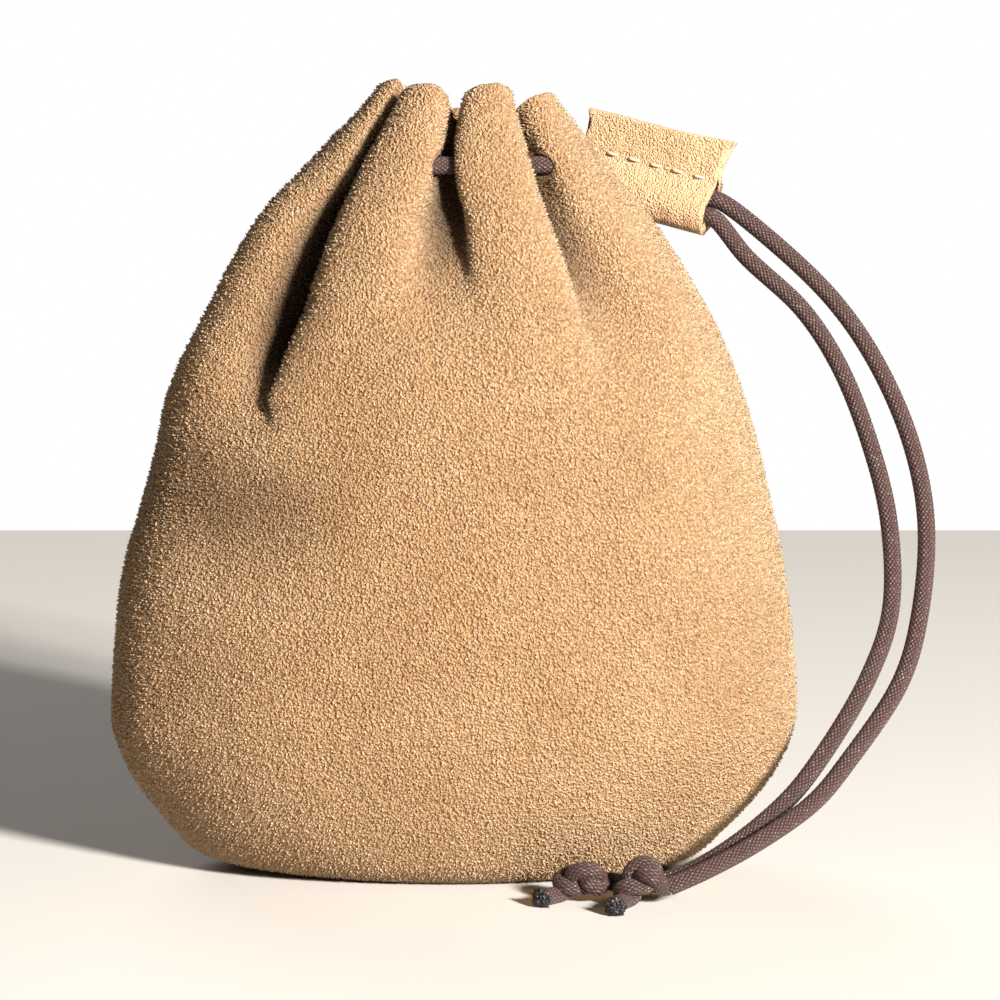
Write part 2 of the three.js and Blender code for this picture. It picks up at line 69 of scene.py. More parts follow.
# %% [markdown]
# ## The sizes that the solids were made from
# The body's sections, its folds and the line of the cord are the same as in the solids, so the fine surface
# made here lies on them. Lengths are in millimetres, and shares are of the named sizes.

# %% Sizes of the body and the mouth
BAG_HEIGHT, BAG_WIDTH, BAG_DEPTH = 113.2, 98.2, 51
LEATHER = 1.4
BASE_LENGTH, BASE_DEPTH = 38, 23
MOUTH_WIDTH, MOUTH_DEPTH = 25.5, 22.5
FOLD_DEPTH, MOUTH_FOLD_DEPTH, RIM_DIP, RIM_FALL = 5.8, 5.1, 3.4, 5.0
FLANK_STEEPNESS, MOUTH_TIGHTNESS = 0.72, 1.12
CORD, CLEAR, LACE_HEIGHT = 2.5, 0.32, 101.2
STRIP, SLIDER_LENGTH, SLIDER_HEIGHT = 1.3, 20.6, 13.6
SLIDER_TURN, SLIDER_DROP = math.radians(20), math.radians(13.5)
SLIDER_AT = Vector((28.4, 15.5, 99.4))
CORD_SPLIT = math.radians(59)
TAIL_OUT, TAIL_FORWARD, TAIL_HEIGHT = 30, 38, 95
KNOT_WIDTH, KNOT_HEIGHT, STUB = 8.2, 5, 3.2

# %% The body's rows: height, left, right, front and back, as shares
SECTIONS = np.array([
    [0.000, 0.390, 0.390, 0.451, 0.451],
    [0.010, 0.640, 0.640, 0.560, 0.560],
    [0.024, 0.750, 0.725, 0.640, 0.640],
    [0.048, 0.812, 0.785, 0.720, 0.720],
    [0.080, 0.873, 0.855, 0.800, 0.800],
    [0.125, 0.945, 0.930, 0.880, 0.880],
    [0.175, 0.994, 0.985, 0.945, 0.940],
    [0.215, 1.000, 1.000, 0.978, 0.970],
    [0.275, 0.990, 0.996, 1.000, 0.995],
    [0.360, 0.966, 0.974, 1.000, 1.000],
    [0.450, 0.920, 0.933, 0.985, 0.985],
    [0.540, 0.860, 0.888, 0.955, 0.955],
    [0.625, 0.794, 0.830, 0.910, 0.910],
    [0.700, 0.722, 0.756, 0.855, 0.860],
    [0.770, 0.640, 0.662, 0.785, 0.790],
    [0.830, 0.553, 0.567, 0.715, 0.715],
    [0.890, 0.424, 0.455, 0.630, 0.625],
    [1.000, (MOUTH_WIDTH - 1.5) / BAG_WIDTH, (MOUTH_WIDTH + 5.0) / BAG_WIDTH,
     MOUTH_DEPTH / BAG_DEPTH, MOUTH_DEPTH / BAG_DEPTH],
])
# ridges: azimuth from the front towards +X, drop of the rim as a share of its dip
RIDGES = [(-80, 0.30), (-23, 0.22), (18.5, 0.25), (62, 0.65), (101, 1.15),
          (141, 1.35), (182, 1.35), (224, 1.05)]
# valleys: azimuth, depth, height where the crease starts, where it is full, how tight, slip under the next
# fold, and how softly it runs out
VALLEYS = [
    (-48.5, 1.95, 0.54, 0.73, 0.85, 8, 0.6),
    (-6, 1.20, 0.64, 0.88, 0.60, 6, 1.15),
    (36.5, 1.05, 0.56, 0.86, 0.90, -8, 1.2),
    (81, 0.90, 0.77, 0.90, 0.80, 0, 1.0),
    (121, 0.95, 0.68, 0.87, 0.80, 0, 0.9),
    (161.5, 1.00, 0.60, 0.85, 0.85, 0, 0.9),
    (203, 1.10, 0.58, 0.84, 0.85, 3, 0.9),
    (250, 1.30, 0.56, 0.80, 0.88, -5, 0.8),
]
print(len(RIDGES), "folds,", len(SECTIONS), "rows")


# %% [markdown]
# ## The gathered surface
# On the real pouch each fold is a finger of leather that stands round and full between two creases. Seen
# from above, the wall is a wave with broad crests and narrow troughs. A plain sine would look like a curtain,
# so each point also slides sideways, towards the trough, by two more sine terms: that makes the crests broad
# and the flanks steep. The whole surface is worked out for many points at once.

# %% The surface as a function of azimuth and height
def ease(t):
    s = np.clip(t, 0, 1)
    return s * s * (3 - 2 * s)


def section(up):
    """left, right, front and back half sizes at a height share, on one smooth curve through the rows"""
    table = SECTIONS
    up = np.clip(up, table[0, 0], 1)
    i = np.clip(np.searchsorted(table[:, 0], up, side="right") - 1, 0, len(table) - 2)
    slope = np.empty_like(table[:, 1:])
    ends = [(max(k - 1, 0), min(k + 1, len(table) - 1)) for k in range(len(table))]
    for k, (a, b) in enumerate(ends):
        slope[k] = (table[b, 1:] - table[a, 1:]) / (table[b, 0] - table[a, 0])
    width = (table[i + 1, 0] - table[i, 0])[..., None]
    t = ((up - table[i, 0])[..., None]) / width
    value = ((2 * t**3 - 3 * t**2 + 1) * table[i, 1:] + (t**3 - 2 * t**2 + t) * width * slope[i]
             + (3 * t**2 - 2 * t**3) * table[i + 1, 1:] + (t**3 - t**2) * width * slope[i + 1])
    return value * np.array([BAG_WIDTH, BAG_WIDTH, BAG_DEPTH, BAG_DEPTH]) / 2


stations = sorted([(a, True, d) for a, d in RIDGES] + [(v[0], False, v[1:]) for v in VALLEYS])
if not stations[0][1] or stations[0][0] > -90:
    last = stations[-1]
    stations = [(last[0] - 360, last[1], last[2])] + stations
stations.append((stations[0][0] + 360, stations[0][1], stations[0][2]))
STATION_AT = np.array([s[0] for s in stations], float)
STATION_RIDGE = np.array([s[1] for s in stations])
STATION_ROW = np.array([[s[2], 0, 0, 0, 0, 0] if s[1] else list(s[2]) for s in stations], float)
RIM_AT, RIM_DROP = np.array([s[0] for s in stations if s[1]], float), np.array([s[2] for s in stations if s[1]], float)
RIM_AT = np.concatenate([RIM_AT - 360, RIM_AT, RIM_AT + 360])
RIM_DROP = np.tile(RIM_DROP, 3)


def outside(azimuth, up):
    """points of the leather's outer face, in millimetres, and how deep in a fold each one lies"""
    azimuth, up = np.broadcast_arrays(np.asarray(azimuth, float), np.asarray(up, float))
    turn = np.floor((azimuth - STATION_AT[0]) / 360) * 360
    a = azimuth - turn
    i = np.clip(np.searchsorted(STATION_AT, a, side="right") - 1, 0, len(STATION_AT) - 2)
    here_ridge = STATION_RIDGE[i]
    ridge, valley = np.where(here_ridge, i, i + 1), np.where(here_ridge, i + 1, i)
    s = np.abs(a - STATION_AT[ridge]) / np.abs(STATION_AT[i + 1] - STATION_AT[i])
    span = STATION_AT[valley] - STATION_AT[ridge]
    deep, low, full, tight, slip, soft = np.moveaxis(STATION_ROW[valley], -1, 0)
    hollow = (1 - np.cos(np.pi * s)) / 2
    lace = LACE_HEIGHT / BAG_HEIGHT
    drawn = ease((up - lace + 0.04) / (1 - lace + 0.04))
    depth = ease((up - low) / (full - low)) * (FOLD_DEPTH * deep * (1 - drawn) + MOUTH_FOLD_DEPTH * drawn)
    firm = np.minimum(1, depth / (soft * FOLD_DEPTH))
    pinched = ease((up - lace + 0.07) / 0.09)
    tight = tight + (MOUTH_TIGHTNESS - tight) * pinched
    steep = FLANK_STEEPNESS + (MOUTH_TIGHTNESS - FLANK_STEEPNESS) * pinched
    spread = tight * np.sin(np.pi * s) / np.pi + steep * np.sin(2 * np.pi * s) / (2 * np.pi)
    phi = np.radians(STATION_AT[ridge] + turn + span * (s + firm * spread) + firm * slip * (1 - 0.8 * pinched) * hollow**2)
    left, right, front, back = np.moveaxis(section(up), -1, 0)
    half_x, half_y = (left + right) / 2, (front + back) / 2
    nx, ny = np.sin(phi) / half_x, -np.cos(phi) / half_y
    norm = np.hypot(nx, ny)
    rim_drop = RIM_DIP * np.interp(azimuth, RIM_AT, RIM_DROP) + RIM_FALL * np.sin(np.pi * s / 2) ** 2.0
    left_side = azimuth - 360 * (azimuth > 90)
    rim_drop = rim_drop + 1.8 * np.exp(-((left_side + 94) / 12) ** 2) - 2.2 * np.exp(-((left_side + 67) / 10) ** 2)
    above = LACE_HEIGHT + (BAG_HEIGHT - rim_drop - LACE_HEIGHT) * (up - lace) / (1 - lace)
    z = np.where(up <= lace, up * BAG_HEIGHT, above)
    x = (right - left) / 2 + half_x * np.sin(phi) - depth * hollow * nx / norm
    x = x + 1.2 * ease((up - 0.93) / 0.07) * np.exp(-((left_side + 80) / 20) ** 2)
    y = (back - front) / 2 - half_y * np.cos(phi) - depth * hollow * ny / norm
    return np.stack([x, y, z], axis=-1), depth * hollow


print("rim front", outside(np.array([-23.0]), np.array([1.0]))[0].round(1))

# %% [markdown]
# ## The cord, first of all
# One waxed cord, 2.5 mm thick, is laced through the neck. Both ends leave at the back right, go through the
# slider and hang free: each free tail leaves the slider sideways, falls in an arc and lies on the table in
# front of the pouch. Waxed cord is a little springy, so the arc is wide and smooth. The points are the
# route of the solids.

# %% Smooth curves and the slider's own directions
def smooth_line(points, spacing):
    """a centripetal Catmull-Rom curve through the points, resampled to an even spacing (millimetres)"""
    p = [np.array(q, float) for q in points]
    p = [2 * p[0] - p[1]] + p + [2 * p[-1] - p[-2]]
    fine = []
    for a, b, c, d in zip(p, p[1:], p[2:], p[3:]):
        t1 = np.linalg.norm(b - a) ** 0.5
        t2 = t1 + np.linalg.norm(c - b) ** 0.5
        t3 = t2 + np.linalg.norm(d - c) ** 0.5
        for t in np.linspace(t1, t2, 24, endpoint=False):
            a1 = (t1 - t) / t1 * a + t / t1 * b
            a2 = (t2 - t) / (t2 - t1) * b + (t - t1) / (t2 - t1) * c
            a3 = (t3 - t) / (t3 - t2) * c + (t - t2) / (t3 - t2) * d
            b1 = (t2 - t) / t2 * a1 + t / t2 * a2
            b2 = (t3 - t) / (t3 - t1) * a2 + (t - t1) / (t3 - t1) * a3
            fine.append((t2 - t) / (t2 - t1) * b1 + (t - t1) / (t2 - t1) * b2)
    fine.append(p[-2])
    fine = np.array(fine)
    run = np.concatenate([[0], np.cumsum(np.linalg.norm(np.diff(fine, axis=0), axis=1))])
    n = max(2, int(round(run[-1] / spacing)))
    at = np.linspace(0, run[-1], n + 1)
    return np.stack([np.interp(at, run, fine[:, k]) for k in range(3)], axis=1)


ALONG = Vector((math.cos(SLIDER_DROP) * math.cos(SLIDER_TURN), -math.cos(SLIDER_DROP) * math.sin(SLIDER_TURN),
                -math.sin(SLIDER_DROP)))
HEIGHT = (Vector((0, 0, 1)) - ALONG * ALONG.z).normalized()
THROUGH = ALONG.cross(HEIGHT)
PITCH = CORD + CLEAR
SPLIT_UP, SPLIT_THROUGH = PITCH * math.sin(CORD_SPLIT), PITCH * math.cos(CORD_SPLIT)
TUNNEL_UP = -SLIDER_HEIGHT / 2 + STRIP + (SPLIT_UP + CORD + 2 * CLEAR) / 2


def in_slider(s, lane):
    return SLIDER_AT + ALONG * s + HEIGHT * (TUNNEL_UP + lane * SPLIT_UP / 2) - THROUGH * (lane * SPLIT_THROUGH / 2)


def lace_point(azimuth, rise):
    left, right, front, back = section(np.array(LACE_HEIGHT / BAG_HEIGHT))
    sink = LEATHER + CORD / 2 + 1.2 * CLEAR + 1.5 * math.exp(-((azimuth - 80) / 15) ** 2) \
        + 4.5 * math.exp(-((azimuth + 54) / 17) ** 2) + 1.6 * math.exp(-((azimuth + 3) / 11) ** 2) \
        + 2.1 * math.exp(-((azimuth - 37) / 10) ** 2)
    return Vector(((right - left) / 2 + ((left + right) / 2 - sink) * math.sin(math.radians(azimuth)),
                   (back - front) / 2 - ((front + back) / 2 - sink) * math.cos(math.radians(azimuth)),
                   LACE_HEIGHT + rise))


# %% The laced loop's route
crossing, turn_radius = CORD + 2 * CLEAR, 2 * CORD
entry_upper = in_slider(-SLIDER_LENGTH / 2 - CORD / 2, 1)
entry_lower = in_slider(-SLIDER_LENGTH / 2 - CORD / 2, -1)
turn_centre = entry_upper - ALONG * 0.85 * turn_radius + Vector((0, -0.95 * turn_radius, 0))
lace_end = SLIDER_LENGTH / 2 - 2 * CORD
loop_points = [in_slider(lace_end, 1), in_slider(lace_end / 2, 1), in_slider(0, 1),
               in_slider(-SLIDER_LENGTH / 2 + CORD, 1), entry_upper]
for degrees in (95, 140, 185, 228):
    loop_points.append(Vector((turn_centre.x + turn_radius * math.cos(math.radians(degrees)),
                               turn_centre.y + turn_radius * math.sin(math.radians(degrees)),
                               LACE_HEIGHT + crossing / 2)))
for azimuth in range(116, -189, -13):
    loop_points.append(lace_point(azimuth, crossing / 2 * float(ease((azimuth - 60) / 56))
                                  - crossing / 2 * float(ease((-130 - azimuth) / 56))))
loop_points += [entry_lower - ALONG * 2.1 * turn_radius + Vector((0, -1.35 * turn_radius, -0.35)),
                entry_lower - ALONG * turn_radius + Vector((0, -0.42 * turn_radius, -0.35)), entry_lower,
                in_slider(-SLIDER_LENGTH / 2 + CORD, -1), in_slider(0, -1), in_slider(lace_end / 2, -1),
                in_slider(lace_end, -1)]
STEP = 0.24
loop_line = smooth_line(loop_points, STEP)
print("laced loop", round(len(loop_line) * STEP), "mm")

# %% The tails' routes: out, forward and up, as shares of their sizes
OUTER_TAIL = [(0.29, 0.05, 0.945), (0.58, 0.13, 0.857), (0.775, 0.21, 0.768), (0.935, 0.32, 0.650),
              (1.00, 0.42, 0.535), (0.96, 0.55, 0.403), (0.86, 0.66, 0.308), (0.60, 0.79, 0.197),
              (0.44, 0.85, 0.142), (0.17, 0.93, 0.088), (-0.08, 0.985, 0.050)]
INNER_TAIL = [(0.17, 0.03, 0.920), (0.44, 0.10, 0.840), (0.61, 0.18, 0.757), (0.75, 0.28, 0.642),
              (0.83, 0.38, 0.530), (0.825, 0.51, 0.401), (0.71, 0.60, 0.306), (0.47, 0.73, 0.193),
              (0.32, 0.78, 0.138), (0.06, 0.84, 0.074), (-0.17, 0.850, 0.033), (-0.38, 0.848, 0.016)]
KNOTS = {"outer": (-0.385, 1.02, 192, 238), "inner": (-0.650, 0.95, 204, 207)}
mouth_point = in_slider(SLIDER_LENGTH / 2, 0)


def tail_point(out, forward, up):
    return Vector((mouth_point.x + out * TAIL_OUT, mouth_point.y - forward * TAIL_FORWARD, up * TAIL_HEIGHT))


def flat_direction(degrees):
    return Vector((math.cos(math.radians(degrees)), math.sin(math.radians(degrees)), 0))


def knot_centre(which):
    out, forward, turn, stub = KNOTS[which]
    p = tail_point(out, forward, 0)
    p.z = KNOT_HEIGHT / 2 + CLEAR / 2
    return p


def tail_line(rows, lane, which):
    gate = knot_centre(which) - flat_direction(KNOTS[which][2]) * (KNOT_WIDTH / 2 + CLEAR)
    points = [in_slider(lace_end + CLEAR, lane), in_slider(SLIDER_LENGTH / 2 - 0.4 * CORD, lane),
              in_slider(SLIDER_LENGTH / 2 + 0.4 * CORD, lane)]
    return smooth_line(points + [tail_point(*row) for row in rows] + [gate], STEP)


tails = {"outer": tail_line(OUTER_TAIL, 1, "outer"), "inner": tail_line(INNER_TAIL, -1, "inner")}
for name, line in tails.items():
    print(name, "tail", round(STEP * (len(line) - 1), 1), "mm")

# %% [markdown]
# ## Making a braided cord
# A braided cord's strands cross over and under each other in a fine diamond pattern. Hundreds of real
# strands would be heavy, so one ring of points is extruded along the route, and each point is raised or
# lowered by the braid's height there. The ring's turn and the length along the cord are kept in a UV map,
# so that the finish can follow the same strands.

# %% A braided tube along a line
STRANDS = 12
LAY = 9.6


def braid_height(u, v):
    """height of the braid, 0 to 1, at a turn u (0 to 1) and a length v in millimetres"""
    a = u * STRANDS + v * STRANDS / LAY
    b = u * STRANDS - v * STRANDS / LAY
    over = (np.floor(a) + np.floor(b)) % 2
    rise_a, rise_b = np.abs(np.sin(np.pi * a)), np.abs(np.sin(np.pi * b))
    return np.where(over < 1, rise_a * (0.55 + 0.45 * rise_b), rise_b * (0.55 + 0.45 * rise_a))


def frames_along(line):
    tangent = np.gradient(line, axis=0)
    tangent /= np.linalg.norm(tangent, axis=1)[:, None]
    side = np.cross(tangent[0], [0, 0, 1.0])
    if np.linalg.norm(side) < 0.1:
        side = np.cross(tangent[0], [0, 1.0, 0])
    sides = []
    for t in tangent:
        side = side - t * np.dot(side, t)
        side /= np.linalg.norm(side)
        sides.append(side)
    sides = np.array(sides)
    return tangent, sides, np.cross(tangent, sides)


def braided_tube(name, line, diameter=CORD, around=48, relief=0.06, start=0.0, ends=(True, True), shrink=None):
    """one closed tube of quads, its UV map holding the turn and the length along it"""
    _, side, up = frames_along(line)
    run = np.concatenate([[0], np.cumsum(np.linalg.norm(np.diff(line, axis=0), axis=1))]) + start
    bm = bmesh.new()
    ring = bmesh.ops.create_circle(bm, segments=around, radius=1)["verts"]
    rings = [list(ring)]
    edges = [e for e in bm.edges]
    for _ in range(len(line) - 1):
        made = set(bmesh.ops.extrude_edge_only(bm, edges=edges)["geom"])
        edges = [g for g in made if isinstance(g, bmesh.types.BMEdge) and all(v in made for v in g.verts)]
        old = rings[-1]
        new = [g for g in made if isinstance(g, bmesh.types.BMVert)]
        near = {tuple(round(c, 6) for c in v.co): v for v in new}
        rings.append([near[tuple(round(c, 6) for c in v.co)] for v in old])
    turn = np.arange(around) / around
    for k, row in enumerate(rings):
        radius = diameter / 2 - relief + relief * 1.6 * braid_height(turn, run[k])
        if shrink is not None:
            radius = radius * shrink[k]
        angle = 2 * np.pi * turn
        ring_points = (line[k] + side[k] * (np.cos(angle) * radius)[:, None]
                       + up[k] * (np.sin(angle) * radius)[:, None]) * MM
        for v, co in zip(row, ring_points):
            v.co = co
    uv = bm.loops.layers.uv.new("cord")
    index = {v: (j, k) for k, row in enumerate(rings) for j, v in enumerate(row)}
    for face in bm.faces:
        js = [index[l.vert][0] for l in face.loops]
        wrap = max(js) == around - 1 and min(js) == 0
        for loop in face.loops:
            j, k = index[loop.vert]
            loop[uv].uv = ((j + (around if wrap and j == 0 else 0)) / around, run[k])
    for end, wanted in zip((0, -1), ends):
        if wanted:
            bmesh.ops.contextual_create(bm, geom=rings[end])
    bmesh.ops.recalc_face_normals(bm, faces=bm.faces)
    mesh = bpy.data.meshes.new(name)
    bm.to_mesh(mesh)
    bm.free()
    for polygon in mesh.polygons:
        polygon.use_smooth = True
    piece = bpy.data.objects.new(name, mesh)
    bpy.context.collection.objects.link(piece)
    return piece


loop_piece = braided_tube("laced_cord", loop_line)
tail_pieces = {name: braided_tube("cord_tail_" + name, line) for name, line in tails.items()}
print("cord faces", len(loop_piece.data.polygons), [len(t.data.polygons) for t in tail_pieces.values()])

# %% [markdown]
# ## The overhand knots
# An overhand knot is a loop with the end passed through it, pulled tight until the cord touches itself
# everywhere. Instead of placing its points by hand, a loose open trefoil is drawn and then pulled tight in
# code: the ends are drawn apart in small steps, neighbours keep their spacing, and strands that come too
# close push each other away. It is the same knot that fingers would tie.

# %% Pull a loose trefoil tight
def tight_knot(spacing=0.8, thick=1.95, pull=0.1, rounds=320):
    t = np.linspace(0.25, 4 * np.pi - 0.25, 90)
    loose = np.stack([(2 + np.cos(1.5 * t)) * np.cos(t), (2 + np.cos(1.5 * t)) * np.sin(t), 1.3 * np.sin(1.5 * t)],
                     axis=1) * 1.05
    lead = np.arange(1, 22)[:, None] * spacing
    first, last = loose[0] - loose[2], loose[-1] - loose[-3]
    line = smooth_line([*(loose[0] + first / np.linalg.norm(first) * lead[::-1])[::3], *loose[::2],
                        *(loose[-1] + last / np.linalg.norm(last) * lead)[::3]], spacing)
    n = len(line)
    apart = np.abs(np.subtract.outer(np.arange(n), np.arange(n))) > int(2 * thick / spacing)
    for step in range(rounds):
        ends = line[-1] - line[0]
        ends /= np.linalg.norm(ends)
        first, last = line[0] - ends * pull, line[-1] + ends * pull
        for _ in range(8):
            line[0], line[-1] = first, last
            for offset in (0, 1):
                count = len(line[offset + 1::2])
                d = line[offset + 1::2] - line[offset::2][:count]
                long = np.linalg.norm(d, axis=1)
                fix = d * ((long - spacing) / long / 2)[:, None]
                line[offset::2][:count] += fix
                line[offset + 1::2] -= fix
            away = line[:, None] - line[None]
            dist = np.linalg.norm(away, axis=2)
            push = np.where(apart & (dist < thick), (thick - dist) / (dist + 1e-6) * 0.25, 0)
            line += (away * push[..., None]).sum(axis=1)
        line[1:-1] = line[1:-1] * 0.9 + (line[:-2] + line[2:]) * 0.05
        if step > 60 and np.linalg.norm(np.diff(line, axis=0), axis=1).mean() > spacing * 1.07:
            break
    # its own axes: the way the ends point, then the widest way across
    ends = line[-1] - line[0]
    ends /= np.linalg.norm(ends)
    dist = np.linalg.norm(line[:, None] - line[None], axis=2)
    busy = np.where((apart & (dist < thick * 1.3)).any(axis=1))[0]
    core = line[busy[0]:busy[-1] + 1]
    middle = (core.max(axis=0) + core.min(axis=0)) / 2
    q = core - middle
    flat = q - np.outer(q @ ends, ends)
    wide = np.linalg.svd(flat, full_matrices=False)[2][0]
    axes = np.stack([ends, wide, np.cross(ends, wide)], axis=1)
    return (line - middle) @ axes, busy[0], busy[-1]


knot_line, knot_from, knot_to = tight_knot()
core = knot_line[knot_from:knot_to + 1]
print("knot of", len(core), "points, box", np.ptp(core, axis=0).round(2))


# %% Lay the knots on the table at the ends of the tails
KNOT_ROLL = {"outer": 65, "inner": 20}
KNOT_THICK = 2.35


def knot_route(which):
    out, forward, turn, stub = KNOTS[which]
    ahead = np.array(flat_direction(turn))
    side = np.array([-ahead[1], ahead[0], 0])
    roll = math.radians(KNOT_ROLL[which])
    wide = side * math.cos(roll) + np.array([0, 0, 1.0]) * math.sin(roll)
    thin = np.cross(ahead, wide)
    squeeze = np.array([(KNOT_WIDTH - CORD) / np.ptp(core[:, 0]), (KNOT_WIDTH - CORD - 0.9) / np.ptp(core[:, 1]),
                        (KNOT_HEIGHT + 0.4 - CORD) / np.ptp(core[:, 2])])
    squeeze = np.minimum(squeeze, 1.0)
    body = core * squeeze
    body = body[:, :1] * ahead + body[:, 1:2] * wide + body[:, 2:3] * thin
    centre = np.array(knot_centre(which))
    gate = centre - ahead * (KNOT_WIDTH / 2 + CLEAR)
    low = body[:, 2].min() + centre[2]
    lift = CORD / 2 - 0.12 - low
    body = body + centre + np.array([0, 0, lift])
    away = np.array(flat_direction(stub))
    tip = centre + away * (KNOT_WIDTH / 2 + STUB - CORD / 2)
    tip[2] = CORD / 2
    leave = body[-1]
    bend = leave + (tip - leave) * 0.45
    bend[2] = max(CORD / 2, leave[2] * 0.45 + CORD / 2 * 0.55)
    points = [gate, gate + ahead * 0.7, *body[1:-1:2], bend, leave + (tip - leave) * 0.75 * np.array([1, 1, 0])
              + np.array([0, 0, (CORD / 2 - leave[2]) * 0.95]), tip]
    return smooth_line(points, STEP * 0.8)


knots = {which: knot_route(which) for which in KNOTS}
knot_pieces = {which: braided_tube("cord_knot_" + which, line, diameter=KNOT_THICK, start=1.7)
               for which, line in knots.items()}
for which, line in knots.items():
    print(which, "knot box", line.min(axis=0).round(1), line.max(axis=0).round(1))

# %% [markdown]
# ## The burnt tips
# The cut ends were singed so that the braid doesn't open. The wax and cotton shrink to a small hard black
# bead, lumpy and a little shiny, just wider than the cord. A ball of fine triangles is stretched along the
# cord's end and pushed about by noise.

# %% Singed beads
def push_out(points, size, amount, seed=0.0):
    """signed noise for many points in millimetres, with features of the given size"""
    return np.array([noise.noise(Vector(p) / size + Vector((seed, seed * 1.7, 3.1))) for p in points]) * amount


def bead(name, line):
    end, before = line[-1], line[-8]
    way = (end - before) / np.linalg.norm(end - before)
    bm = bmesh.new()
    bmesh.ops.create_icosphere(bm, subdivisions=5, radius=1)
    side = np.cross(way, [0, 0, 1.0])
    side /= np.linalg.norm(side)
    top = np.cross(side, way)
    for v in bm.verts:
        p = np.array(v.co)
        lump = 1 + 0.46 * noise.noise(v.co * 1.9 + Vector((4.0, 2.0, len(name)))) + 0.40 * noise.noise(v.co * 4.5) \
            + 0.14 * noise.noise(v.co * 9.5)
        flare = 1.0 + 0.10 * p[0]
        q = end - way * 0.1 + way * p[0] * 0.95 * lump + (side * p[1] + top * p[2]) * 1.22 * lump * flare
        q[2] = max(q[2], 0.02)
        v.co = Vector(q) * MM
    bmesh.ops.recalc_face_normals(bm, faces=bm.faces)
    return finish_mesh(bm, name)


def finish_mesh(bm, name, smooth=True):
    mesh = bpy.data.meshes.new(name)
    bm.to_mesh(mesh)
    bm.free()
    for polygon in mesh.polygons:
        polygon.use_smooth = smooth
    piece = bpy.data.objects.new(name, mesh)
    bpy.context.collection.objects.link(piece)
    return piece


beads = {which: bead("burnt_tip_" + which, line) for which, line in knots.items()}
print("beads", [b.name for b in beads.values()])

# %% [markdown]
# ## The two panels of suede
# The pouch was sewn inside out and turned, so no edge shows at the sides: the two panels meet in a shallow
# crease. Each panel is one grid that starts at the bottom seam, climbs the outside, rounds over the raw rim
# and goes down the inside, so its wall has a true thickness. The grid's points are placed by the surface
# function, which has the folds, and then pushed about a little, because a hand-filled pouch is never even.

# %% Rows of the grid: outside, rim, inside
OUTER_ROWS, INNER_ROWS, COLUMNS = 262, 30, 250


def outer_shares():
    """height shares at an even spacing along the wall, measured at the front and the side"""
    up = np.linspace(0, 1, 1500)
    shape = section(up)
    run = np.hypot(np.gradient(up * BAG_HEIGHT), np.gradient(shape[:, :3].mean(axis=1)))
    run = np.cumsum(run)
    run -= run[0]
    base = 12
    return np.interp(np.linspace(0, run[-1], OUTER_ROWS - base), run, up), base


shares, BASE_ROWS = outer_shares()


def skin(azimuth, rows):
    """the outer face for every row and column: the flat base, then the wall"""
    base = np.linspace(0, 1, BASE_ROWS, endpoint=False)
    a = np.radians(azimuth)
    flat = np.stack([np.sin(a)[None] * BASE_LENGTH / 2 * (0.86 + 0.14 * base[:, None]),
                     -np.cos(a)[None] * BASE_DEPTH / 2 * base[:, None],
                     np.zeros((BASE_ROWS, len(a)))], axis=-1)
    wall, depth = outside(azimuth[None], rows[:, None])
    return np.concatenate([flat, wall], axis=0), np.concatenate([np.zeros((BASE_ROWS, len(a))), depth], axis=0)


def noise_field(points, size, seed):
    flat = points.reshape(-1, 3) / size
    return np.array([noise.noise((p[0] + seed, p[1] - seed, p[2] + 2 * seed)) for p in flat]).reshape(points.shape[:-1])


